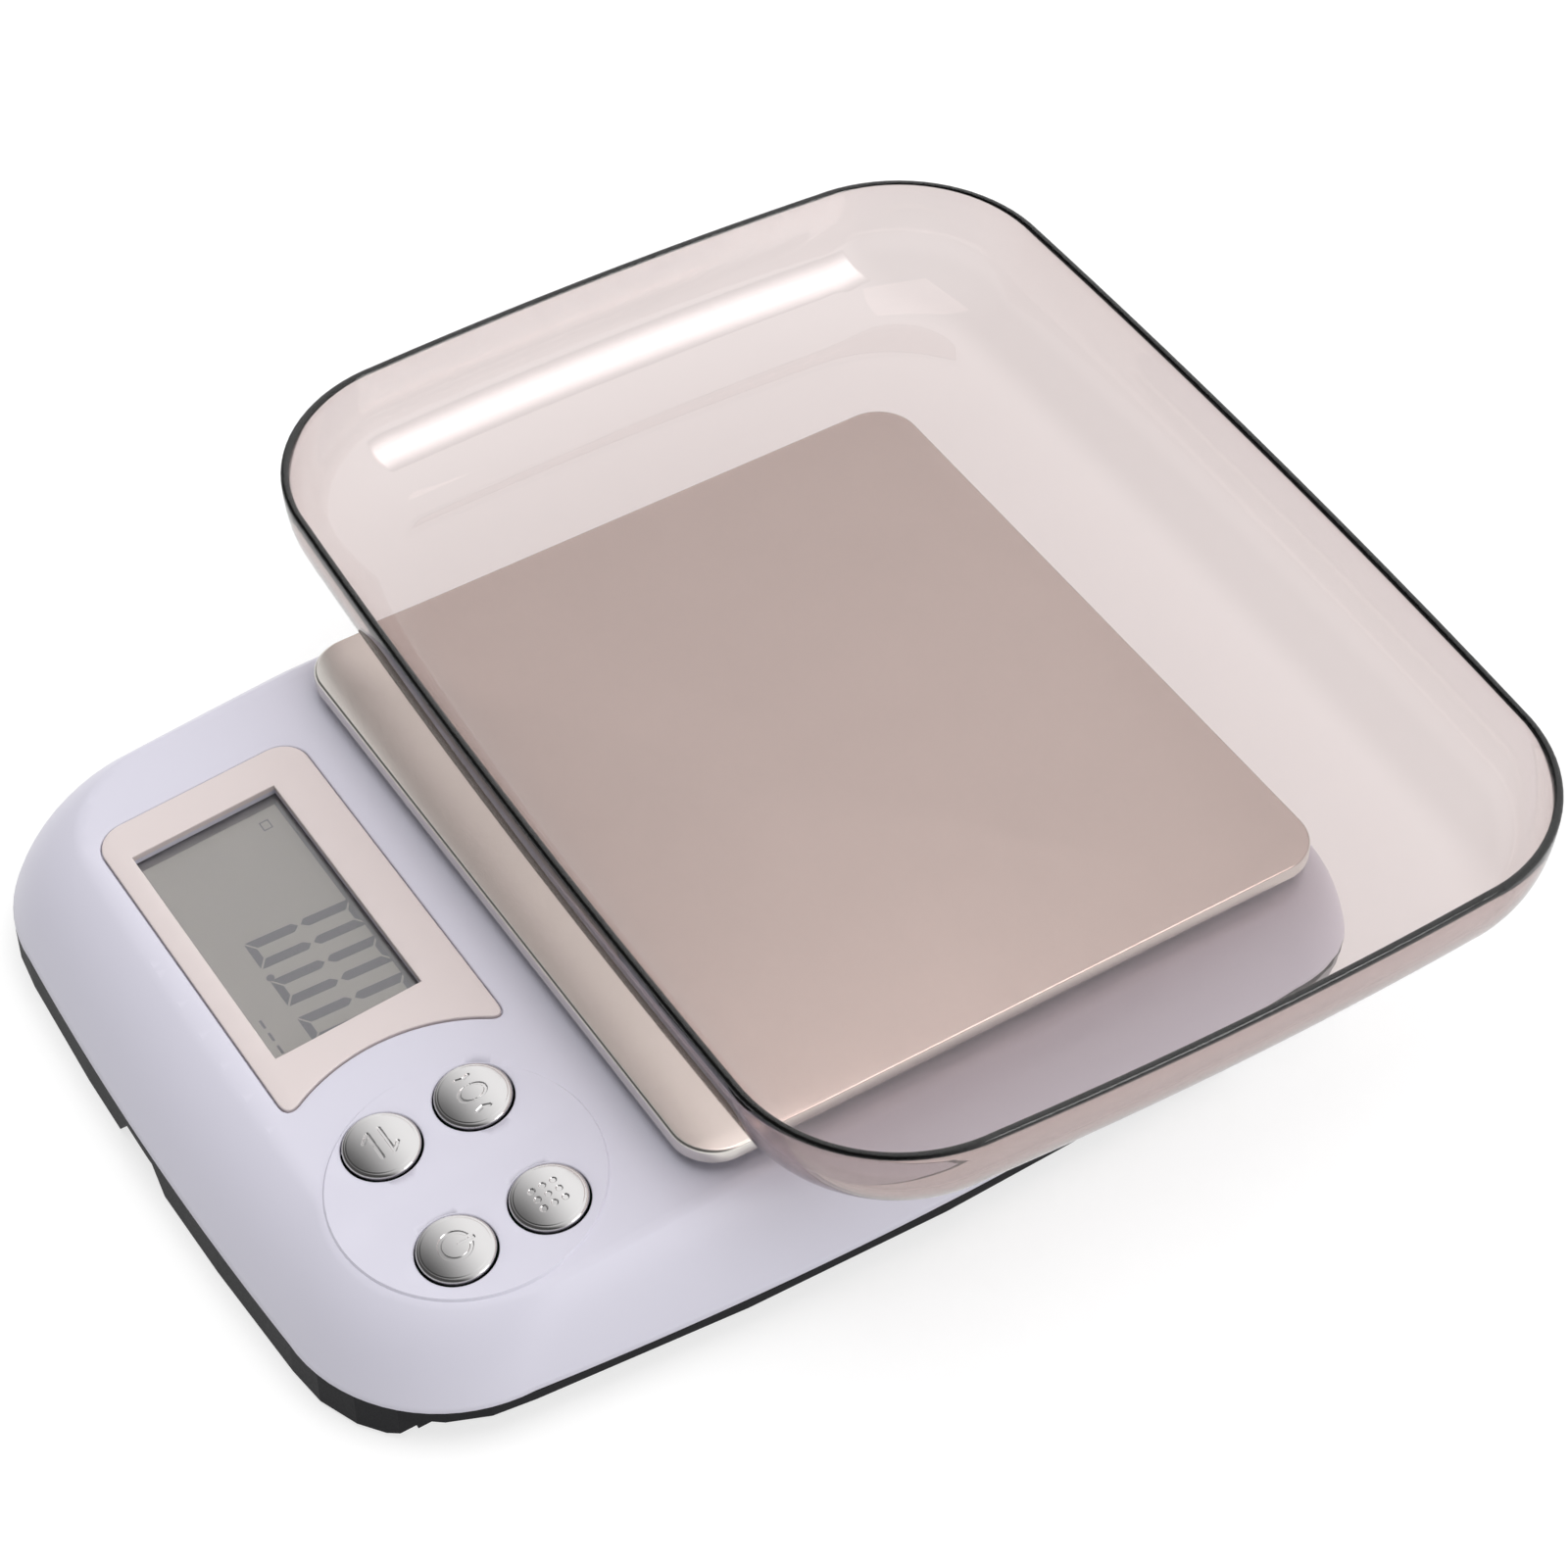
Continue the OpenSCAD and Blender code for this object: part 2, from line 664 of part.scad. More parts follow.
module load_cell_lead() {
    color([0.85, 0.85, 0.86]) swept([[14, 8, 18], [14, 6, 18], [13, 0, 17.5], [11, -10, 16],
        [9, -24, 14], [8, -38, 12.5], [7, -50, 12], [6, -60, 12], [6, -64, 13], [6, -66, 15]], 1.1);
}

// ---- battery bay ----

module battery(y, s) {
    color([0.2, 0.35, 0.6]) translate([s * 1.75, y, battery_z]) rotate([0, s > 0 ? 90 : -90, 0]) {
        translate([0, 0, -battery_l / 2]) cylinder(d = battery_d, h = battery_l - 1);
        translate([0, 0, battery_l / 2 - 1 - eps]) cylinder(d = 3.8, h = 1 + eps);
    }
}

module battery_front() { battery(bay_y - battery_pitch / 2, 1); }
module battery_rear() { battery(bay_y + battery_pitch / 2, -1); }

// Coil springs that press on the flat ends of the batteries.
module contact_springs() {
    turns = 3.5;
    steps = 42;
    gap = cell_w / 2 - 0.5 - battery_l / 2 + 1.75;
    color([0.75, 0.75, 0.72]) for (s = [-1, 1])
        translate([-s * (cell_w / 2 - 0.5), bay_y - s * battery_pitch / 2, battery_z])
            swept([for (i = [0 : steps]) let (a = 360 * turns * i / steps, r = 3.6 - 1.2 * i / steps)
                   [s * (0.4 + (gap - 0.8) * i / steps), r * cos(a), r * sin(a)]], 0.3, 6);
}

module contact_plates() {
    color([0.78, 0.77, 0.72]) for (s = [-1, 1])
        translate([s > 0 ? cell_w / 2 - 0.5 : -cell_w / 2, bay_y - 10.5, 5.2]) cube([0.5, 21, 9.6]);
}

module battery_leads() {
    for (s = [-1, 1]) color(s > 0 ? [0.75, 0.1, 0.1] : [0.1, 0.1, 0.1])
        swept([[s * 34, 50, 11], [s * 40, 47, 10], [s * 46, 40, 8], [s * 48, 30, 7], [s * 48, 0, 7],
               [s * 46, -30, 7], [s * 40, -50, 8.5], [s * 30, -66, 11], [s * 28, -70, 13]], 0.8);
}

module battery_door() {
    low = bay_y - door_l / 2;
    color([0.25, 0.25, 0.26]) difference() {
        union() {
            translate([-door_w / 2, low, base_z]) cube([door_w, door_l, door_t]);
            translate([-door_w / 2 - rail_w, low, base_z + 1]) cube([door_w + 2 * rail_w, door_l, door_t - 1]);
        }
        for (i = [0 : 4]) translate([-8, low + 4 + 2 * i, base_z - 1]) cube([16, 1, 1.5]);
    }
}

// ---- tray ----

function tray_ring(inset, z) =
    lifted(bowed(tray_w - 2 * inset, tray_l - 2 * inset, tray_r - inset, tray_r - inset, tray_bow, tray_bow),
           0, z);

// The tray's shape as one solid: its wall curves up from the floor and ends nearly upright.
module tray_form(inset, floor_z, top_z) {
    reach = tray_reach - inset;
    height = top_z - floor_z;
    flat = 2 / tray_power;
    stacked([for (a = [0 : 10 : 90])
        tray_ring(inset + reach * (1 - pow(sin(a), flat)), floor_z + height * (1 - pow(cos(a), flat)))]);
}

module weighing_tray() {
    low = platform_z + 0.1;
    color([0.8, 0.76, 0.75, 0.5]) translate([0, tray_y, 0]) rotate([0, 0, -tray_turn]) difference() {
        tray_form(0, low, low + tray_h);
        tray_form(tray_t, low + tray_t, low + tray_h + eps);
    }
}

top_casing();
lower_casing();
display_bezel();
display_window();
lcd_panel();
lcd_holder();
zebra_strips();
main_board();
board_screws();
controller_blob();
key_switches();
button_unit();
button_zero();
button_power();
button_count();
plunger_unit();
plunger_zero();
plunger_power();
plunger_count();
weighing_platform();
platform_carrier();
load_cell();
strain_gauges();
load_spacer(end_mid, cell_z - spacer_t);  // load_spacer_fixed
load_spacer(-end_mid, cell_top);  // load_spacer_free
load_screws_fixed();
load_screws_free();
overload_stop();
load_cell_lead();
battery_door();
battery_front();
battery_rear();
contact_springs();
contact_plates();
battery_leads();
foot(foot_at[0]);  // foot_left
foot(foot_at[1]);  // foot_right
corner_skid(-1);  // corner_skid_left
corner_skid(1);  // corner_skid_right
casing_screws();
weighing_tray();
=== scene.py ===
import json
import math
import bpy
import bmesh
import numpy as np
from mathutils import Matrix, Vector
from mathutils.geometry import delaunay_2d_cdt


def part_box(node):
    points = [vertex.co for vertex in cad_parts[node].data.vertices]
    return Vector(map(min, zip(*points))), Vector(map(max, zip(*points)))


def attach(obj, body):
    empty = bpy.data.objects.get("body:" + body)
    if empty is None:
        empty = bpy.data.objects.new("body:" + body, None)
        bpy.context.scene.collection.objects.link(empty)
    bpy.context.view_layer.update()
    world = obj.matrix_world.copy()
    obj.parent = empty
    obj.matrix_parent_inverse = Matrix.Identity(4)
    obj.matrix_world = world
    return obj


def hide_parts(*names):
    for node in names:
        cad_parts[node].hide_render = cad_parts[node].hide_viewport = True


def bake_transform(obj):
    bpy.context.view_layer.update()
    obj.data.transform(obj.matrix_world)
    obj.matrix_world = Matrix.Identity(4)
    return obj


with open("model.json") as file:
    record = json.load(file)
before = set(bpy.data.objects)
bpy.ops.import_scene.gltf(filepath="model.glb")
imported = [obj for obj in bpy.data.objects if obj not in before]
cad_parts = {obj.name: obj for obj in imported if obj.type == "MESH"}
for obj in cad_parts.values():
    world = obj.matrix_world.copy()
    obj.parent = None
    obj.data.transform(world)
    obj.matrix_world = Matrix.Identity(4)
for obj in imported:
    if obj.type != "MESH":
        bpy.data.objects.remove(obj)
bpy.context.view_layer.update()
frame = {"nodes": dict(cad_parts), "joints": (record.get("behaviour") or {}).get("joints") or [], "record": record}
print("stage: frame loaded")

mm = 0.001
weldDistance = 2e-6      # metres; points closer than this become one
sliverEdge = 1e-7        # metres; shorter edges are dissolved


# Lowest and highest corner of a CAD node, as two arrays in millimetres.
def nodeBox(node):
    low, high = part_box(node)
    return np.array(low) / mm, np.array(high) / mm


pressAxis = next(j["axis"] for j in frame["joints"] if j["name"] == "press_unit")
panelTilt = math.asin(pressAxis[1])
platformLow, platformHigh = nodeBox("weighing_platform")
casingLow, casingHigh = nodeBox("top_casing")
trayLow, trayHigh = nodeBox("weighing_tray")
bezelLow, bezelHigh = nodeBox("display_bezel")
panelStart = platformLow[1]
ledgeZ = casingHigh[2]
partingZ = casingLow[2]


# Point on the control panel: x across, v along it from the platform, w out of it. Behind the
# platform's front edge the panel goes level, so v keeps growing along +Y there.
def onPanel(x, v, w):
    x, v, w = np.broadcast_arrays(*[np.asarray(part, float) for part in (x, v, w)])
    front = v < 0
    y = np.where(front, v * math.cos(panelTilt) - w * math.sin(panelTilt), v) + panelStart
    z = np.where(front, v * math.sin(panelTilt) + w * math.cos(panelTilt), w) + ledgeZ
    return np.stack([x, y, z], axis=-1)


# Where the middle of a node's box lies on the panel, as (x, v).
def panelPlace(node):
    low, high = nodeBox(node)
    mid = (low + high) / 2 - np.array([0, panelStart, ledgeZ])
    return mid[0], mid[1] * math.cos(panelTilt) + mid[2] * math.sin(panelTilt)


keyPlaces = {name: panelPlace("button_" + name) for name in ("unit", "zero", "power", "count")}


# Builds one piece from millimetre points, closes its seams, turns its faces outwards and puts it on
# its body. A piece without a body is placed by its caller.
def makeObject(name, verts, faces, material, body, stands=(), smoothAngle=40.0):
    mesh = bpy.data.meshes.new(name)
    mesh.from_pydata((np.asarray(verts, float) * mm).tolist(), [], [list(map(int, f)) for f in faces])
    work = bmesh.new()
    work.from_mesh(mesh)
    bmesh.ops.remove_doubles(work, verts=work.verts, dist=weldDistance)
    bmesh.ops.dissolve_degenerate(work, edges=work.edges, dist=sliverEdge)
    bmesh.ops.recalc_face_normals(work, faces=work.faces)
    work.to_mesh(mesh)
    work.free()
    mesh.shade_smooth()
    mesh.set_sharp_from_angle(angle=math.radians(smoothAngle))
    mesh.materials.append(material)
    obj = bpy.data.objects.new(name, mesh)
    bpy.context.scene.collection.objects.link(obj)
    if body:
        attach(obj, body)
    if stands:
        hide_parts(*stands)
    return obj


# Quads between neighbouring rows of a grid of points; wrap joins the last column to the first.
def gridFaces(rows, cols, wrap=True, start=0):
    r = np.arange(rows - 1)[:, None]
    c = np.arange(cols if wrap else cols - 1)[None, :]
    n = (c + 1) % cols
    return np.stack([r * cols + c, r * cols + n, (r + 1) * cols + n, (r + 1) * cols + c],
                    axis=-1).reshape(-1, 4) + start


# Loop round a rectangle, counter-clockwise from the right side's front end. radii are its corner
# radii, front right, rear right, rear left, front left. Each side is a parabola that bulges by bowX
# or bowY, and each corner an arc.
def bowedLoop(left, right, front, rear, radii, bowX, bowY, side=36, corner=18):
    frontRight, rearRight, rearLeft, frontLeft = radii
    t = np.linspace(-1, 1, side, endpoint=False)
    a = np.linspace(0, math.pi / 2, corner, endpoint=False)
    hiX, loX, hiY, loY = right - bowX, left + bowX, rear - bowY, front + bowY

    def stretch(lo, hi):
        return lo + (hi - lo) * (t + 1) / 2

    parts = [
        np.stack([right - bowX * t ** 2, stretch(loY + frontRight, hiY - rearRight)], -1),
        np.stack([hiX - rearRight + rearRight * np.cos(a),
                  hiY - rearRight + rearRight * np.sin(a)], -1),
        np.stack([stretch(hiX - rearRight, loX + rearLeft), rear - bowY * t ** 2], -1),
        np.stack([loX + rearLeft - rearLeft * np.sin(a), hiY - rearLeft + rearLeft * np.cos(a)], -1),
        np.stack([left + bowX * t ** 2, stretch(hiY - rearLeft, loY + frontLeft)], -1),
        np.stack([loX + frontLeft - frontLeft * np.cos(a),
                  loY + frontLeft - frontLeft * np.sin(a)], -1),
        np.stack([stretch(loX + frontLeft, hiX - frontRight), front + bowY * t ** 2], -1),
        np.stack([hiX - frontRight + frontRight * np.sin(a),
                  loY + frontRight - frontRight * np.cos(a)], -1),
    ]
    return np.concatenate(parts)


# Unit normals of a closed counter-clockwise loop, pointing away from its inside.
def outwards(loop):
    tangent = np.roll(loop, -1, 0) - np.roll(loop, 1, 0)
    normal = np.stack([tangent[:, 1], -tangent[:, 0]], -1)
    return normal / np.linalg.norm(normal, axis=1, keepdims=True)


def ringLoop(x, v, radius, count=64):
    a = np.linspace(0, 2 * math.pi, count, endpoint=False)
    return np.stack([x + radius * np.cos(a), v + radius * np.sin(a)], -1)


# True for each point that lies inside a closed loop, by counting crossings.
def inside(points, loop):
    x, y = points[:, :1], points[:, 1:2]
    x0, y0 = loop[:, 0], loop[:, 1]
    x1, y1 = np.roll(x0, -1), np.roll(y0, -1)
    span = (y0 > y) != (y1 > y)
    slope = (x1 - x0) / np.where(y1 == y0, 1e-9, y1 - y0)
    return (np.sum(span & (x < x0 + slope * (y - y0)), axis=1) % 2) == 1


# Triangles that fill the outer loop and leave the holes open. Grid points fill the space, and each
# loop in lines is kept as edges too. Returns the points and the triangles.
def sheetBetween(outer, holes, lines, spacing, extra=None):
    low, high = outer.min(0), outer.max(0)
    gx, gy = np.meshgrid(np.arange(low[0], high[0], spacing), np.arange(low[1], high[1], spacing))
    fill = np.stack([gx.ravel(), gy.ravel()], -1)
    loops = [outer] + list(holes) + list(lines)

    def clearOf(spots, least):
        keep = inside(spots, outer)
        for h in holes:
            keep &= ~inside(spots, h)
        for l in loops:
            gap = np.min(np.linalg.norm(spots[:, None, :] - l[None, :, :], axis=2), axis=1)
            keep &= gap > least
        return spots[keep]

    fill = clearOf(fill, 0.45 * spacing)
    if extra is not None:
        fill = np.concatenate([fill, clearOf(extra, 0.5)])
    points, edges = list(loops), []
    count = 0
    for l in loops:
        index = np.arange(len(l))
        edges.append(np.stack([index, (index + 1) % len(l)], -1) + count)
        count += len(l)
    points = np.concatenate(points + [fill])
    result = delaunay_2d_cdt([Vector(p) for p in points], np.concatenate(edges).tolist(), [], 0, 1e-5)
    verts = np.array([tuple(p) for p in result[0]])
    tris = np.array(result[2])
    middle = verts[tris].mean(axis=1)
    keep = inside(middle, outer)
    for h in holes:
        keep &= ~inside(middle, h)
    return verts, tris[keep]


def smoothStep(x):
    x = np.clip(x, 0, 1)
    return x * x * (3 - 2 * x)


def newMaterial(name):
    material = bpy.data.materials.new(name)
    material.use_nodes = True
    tree = material.node_tree
    shader = tree.nodes["Principled BSDF"]
    return material, tree, shader


# Noise on object coordinates, scaled per metre and stretched along the axes.
def addNoise(tree, scale, detail=3.0, stretch=(1, 1, 1)):
    coords = tree.nodes.new("ShaderNodeTexCoord")
    mapping = tree.nodes.new("ShaderNodeMapping")
    mapping.inputs["Scale"].default_value = stretch
    noise = tree.nodes.new("ShaderNodeTexNoise")
    noise.inputs["Scale"].default_value = scale
    noise.inputs["Detail"].default_value = detail
    tree.links.new(coords.outputs["Object"], mapping.inputs["Vector"])
    tree.links.new(mapping.outputs["Vector"], noise.inputs["Vector"])
    return noise


# Colour or value that runs from low to high as the source goes from fromLow to fromHigh.
def addRamp(tree, source, low, high, fromLow=0.3, fromHigh=0.7):
    ramp = tree.nodes.new("ShaderNodeValToRGB")
    ramp.color_ramp.elements[0].position = fromLow
    ramp.color_ramp.elements[1].position = fromHigh
    ramp.color_ramp.elements[0].color = (*low, 1)
    ramp.color_ramp.elements[1].color = (*high, 1)
    tree.links.new(source, ramp.inputs["Fac"])
    return ramp


def addBump(tree, shader, height, strength, distance):
    bump = tree.nodes.new("ShaderNodeBump")
    bump.inputs["Strength"].default_value = strength
    bump.inputs["Distance"].default_value = distance
    tree.links.new(height, bump.inputs["Height"])
    tree.links.new(bump.outputs["Normal"], shader.inputs["Normal"])


def grey(value):
    return (value, value, value)


# Base colour that drifts a little lighter and darker with a noise.
def addDrift(tree, shader, noise, colour, drift):
    tone = addRamp(tree, noise.outputs["Fac"], tuple(c * (1 - drift) for c in colour),
                   tuple(min(1, c * (1 + drift)) for c in colour))
    tree.links.new(tone.outputs["Color"], shader.inputs["Base Color"])


# Moulded plastic: a slow drift of tone, a little change in gloss and a fine spark texture.
def mouldedPlastic(name, colour, rough=0.35, spark=0.0, sparkScale=2500, drift=0.03, specular=0.5):
    material, tree, shader = newMaterial(name)
    addDrift(tree, shader, addNoise(tree, 14, 2), colour, drift)
    fine = addNoise(tree, sparkScale, 2)
    gloss = addRamp(tree, fine.outputs["Fac"], grey(rough * 0.92), grey(min(1, rough * 1.08)))
    tree.links.new(gloss.outputs["Color"], shader.inputs["Roughness"])
    if spark:
        addBump(tree, shader, fine.outputs["Fac"], spark, 0.00004)
    shader.inputs["Specular IOR Level"].default_value = specular
    return material


# Metal with fine lines along one axis and a slow mottling.
def brushedMetal(name, colour, rough=0.3, stretch=(4, 400, 400), depth=0.05, drift=0.05, spread=0.15):
    material, tree, shader = newMaterial(name)
    shader.inputs["Metallic"].default_value = 1.0
    lines = addNoise(tree, 6, 4, stretch)
    addDrift(tree, shader, addNoise(tree, 18, 3), colour, drift)
    gloss = addRamp(tree, lines.outputs["Fac"], grey(rough * (1 - spread)), grey(rough * (1 + spread)))
    tree.links.new(gloss.outputs["Color"], shader.inputs["Roughness"])
    addBump(tree, shader, lines.outputs["Fac"], depth, 0.00003)
    return material


# Clear moulded plastic: light passes through, with a tint and a faint waviness.
def clearPlastic(name, tint, rough=0.03, ior=1.49, waviness=0.02, absorb=None, density=400):
    material, tree, shader = newMaterial(name)
    shader.inputs["Base Color"].default_value = (*tint, 1)
    shader.inputs["Transmission Weight"].default_value = 1.0
    shader.inputs["IOR"].default_value = ior
    wave = addNoise(tree, 60, 1)
    gloss = addRamp(tree, wave.outputs["Fac"], grey(rough * 0.7), grey(rough * 1.3))
    tree.links.new(gloss.outputs["Color"], shader.inputs["Roughness"])
    addBump(tree, shader, wave.outputs["Fac"], waviness, 0.0002)
    if absorb:
        depth = tree.nodes.new("ShaderNodeVolumeAbsorption")
        depth.inputs["Color"].default_value = (*absorb, 1)
        depth.inputs["Density"].default_value = density
        tree.links.new(depth.outputs["Volume"], tree.nodes["Material Output"].inputs["Volume"])
    return material


finish = {
    "white_shell": mouldedPlastic("whiteShell", (0.64, 0.625, 0.715), 0.36, 0.06, drift=0.01),
    "black_shell": mouldedPlastic("blackShell", (0.009, 0.009, 0.011), 0.55, 0.25, specular=0.1),
    "cream_panel": mouldedPlastic("creamPanel", (0.68, 0.60, 0.59), 0.32, 0.03, drift=0.01),
    "clear_window": clearPlastic("clearWindow", (0.96, 0.96, 0.95), 0.02),
    "lcd_glass": mouldedPlastic("lcdGlass", (0.41, 0.385, 0.37), 0.22, drift=0.02),
    "white_insert": mouldedPlastic("whiteInsert", (0.75, 0.75, 0.74), 0.5, 0.1),
    "zebra_rubber": mouldedPlastic("zebraRubber", (0.05, 0.05, 0.055), 0.8, 0.2),
    "green_board": mouldedPlastic("greenBoard", (0.02, 0.16, 0.07), 0.35, 0.05, drift=0.12),
    "zinc_steel": brushedMetal("zincSteel", (0.60, 0.60, 0.58), 0.35),
    "black_resin": mouldedPlastic("blackResin", (0.02, 0.02, 0.021), 0.4, 0.1),
    "chromed_cap": brushedMetal("chromedCap", (0.55, 0.54, 0.54), 0.12, (60, 60, 60), 0.005, 0.01),
    "brushed_platform": brushedMetal("brushedPlatform", (0.69, 0.66, 0.625), 0.25, (400, 4, 400),
                                     0.001, 0.025, 0.02),
    "bar_aluminium": brushedMetal("barAluminium", (0.80, 0.81, 0.83), 0.4),
    "lead_grey": mouldedPlastic("leadGrey", (0.55, 0.55, 0.57), 0.5),
    "lead_red": mouldedPlastic("leadRed", (0.45, 0.02, 0.02), 0.4),
    "battery_jacket": mouldedPlastic("batteryJacket", (0.04, 0.10, 0.38), 0.25),
    "foot_rubber": mouldedPlastic("footRubber", (0.03, 0.03, 0.032), 0.8, 0.3),
    "skid_grey": mouldedPlastic("skidGrey", (0.28, 0.285, 0.30), 0.6, 0.2),
    "smoked_clear": clearPlastic("smokedClear", (1.0, 1.0, 1.0), 0.01,
                                 absorb=(0.72, 0.63, 0.615), density=620),
}
finish["lcdInk"] = mouldedPlastic("lcdInk", (0.17, 0.166, 0.19), 0.3)
# Dark grey of the glass's printed edge, also used as painted shade along the bezel's left and rear edges.
finish["lcdPrintAndPaintedShade"] = mouldedPlastic("lcdPrintAndPaintedShade", (0.21, 0.20, 0.215), 0.3)
slotOf = {s["node"]: s["material_slot"] for s in frame["record"]["subparts"]}
for nodeName, obj in frame["nodes"].items():
    obj.data.materials.clear()
    obj.data.materials.append(finish[slotOf[nodeName]])
print("stage: materials")


shell = {
    "creaseHalf": 77.9,      # half the width between the long creases
    "creaseRear": 88.0,
    "creaseFront": -57.4,    # along the panel
    "creaseRadii": (28, 16, 16, 22),
    "creaseBow": (0.5, 1.0),
    "footRadii": (32, 22, 22, 32),
    "footBow": (4.5, 1.8),
    "footInset": 0.02,       # inside the CAD shell's outline at the parting line
    "bulge": 0.74,           # how far out the skirt's control point lies
    "drop": 0.30,            # and how far down
    "rings": 18,
    "thickness": 1.8,
    "partingGap": 0.25,
    "padRadius": 25.8,
    "padRise": 0.45,
    "padEdge": 0.35,         # width of the pad's sloping edge
    "valleyX": 48.6,
    "valleyDepth": 0.35,
    "valleyWidth": 3.2,
    "valleyFade": 9,         # how far inside the pad's edge the valley dies out
    "valleySpan": 24,        # half the length that gets finer points
    "holeRadius": 7.62,
    "holeDepth": 1.2,
    "edgeRound": 0.35,
    "recessDepth": 1.05,
    "recessGap": 0.28,
    "recessLedge": 1.2,      # ledge under the bezel, in from the recess wall
    "bossGap": 2,            # free space round the platform's boss
    "spacing": 2.2,
}
padX = (keyPlaces["unit"][0] + keyPlaces["power"][0]) / 2 + 1.35
padV = (keyPlaces["unit"][1] + keyPlaces["zero"][1]) / 2 - 0.6


# Height above the panel: a raised round pad with a shallow valley down its middle.
def relief(x, v):
    s = shell
    away = np.hypot(x - padX, v - padV)
    pad = s["padRise"] * smoothStep((s["padRadius"] - away) / s["padEdge"])
    across = (x - s["valleyX"]) / s["valleyWidth"]
    valley = s["valleyDepth"] * np.exp(-across ** 2)
    valley = valley * smoothStep((s["padRadius"] - away) / s["valleyFade"])
    return pad - valley


bezel = {
    "left": bezelLow[0],
    "front": (bezelLow[1] - panelStart) / math.cos(panelTilt),
    "rear": (bezelHigh[1] - panelStart) / math.cos(panelTilt),
    "corner": 6.0,
    "arc": 36.5,
    "tip": 4.2,             # how much of each tip beside the arc is rounded away
    "rise": 0.3,
    "edge": 0.25,
    "seatGap": 0.05,        # free space under the bezel
    "spacing": 3.0,         # between the points of its top
    "underSpacing": 6.0,    # and of its underside
}


# Outline of the display bezel: a round-cornered oblong whose right end is a concave arc centred on
# the key pad.
def bezelLoop(count=22):
    b = bezel
    left, front, rear, r, big = b["left"], b["front"], b["rear"], b["corner"], b["arc"]
    a = np.linspace(0, math.pi / 2, count)
    rearLeft = np.stack([left + r - r * np.sin(a), rear - r + r * np.cos(a)], -1)
    frontLeft = np.stack([left + r - r * np.cos(a), front + r - r * np.sin(a)], -1)
    topX = padX - math.sqrt(big ** 2 - (rear - padV) ** 2)
    lowX = padX - math.sqrt(big ** 2 - (front - padV) ** 2)
    a1 = math.atan2(front - padV, lowX - padX)
    a0 = math.atan2(rear - padV, topX - padX)
    cut = b["tip"] / big
    sweep = np.linspace(a1 % (2 * math.pi) - cut, a0 % (2 * math.pi) + cut, 3 * count)
    arc = np.stack([padX + big * np.cos(sweep), padV + big * np.sin(sweep)], -1)
    trim = b["tip"]
    rearSide = np.stack([np.linspace(topX - trim, left + r, 24)[:-1], np.full(23, rear)], -1)
    frontSide = np.stack([np.linspace(left + r, lowX - trim, 24)[1:], np.full(23, front)], -1)
    leftSide = np.stack([np.full(16, left), np.linspace(rear - r, front + r, 18)[1:-1]], -1)
    t = np.linspace(0, 1, 13)[1:-1, None]

    def tip(start, corner, end):
        return (1 - t) ** 2 * start + 2 * t * (1 - t) * corner + t ** 2 * end

    lowTip = tip(frontSide[-1], np.array([lowX, front]), arc[0])
    topTip = tip(arc[-1], np.array([topX, rear]), rearSide[0])
    return np.concatenate([rearSide, rearLeft, leftSide, frontLeft, frontSide, lowTip, arc, topTip])


# A loop carried along a profile: each profile point moves the loop outwards by its first value and
# off the panel by its second. Heights follow the relief at the outer loop.
def collar(loop, profile):
    normal = outwards(loop)
    base = relief(loop[:, 0], loop[:, 1])
    rows = []
    for out, up in profile:
        ring = loop + normal * out
        rows.append(onPanel(ring[:, 0], ring[:, 1], base + up))
    return np.concatenate(rows), gridFaces(len(profile), len(loop))


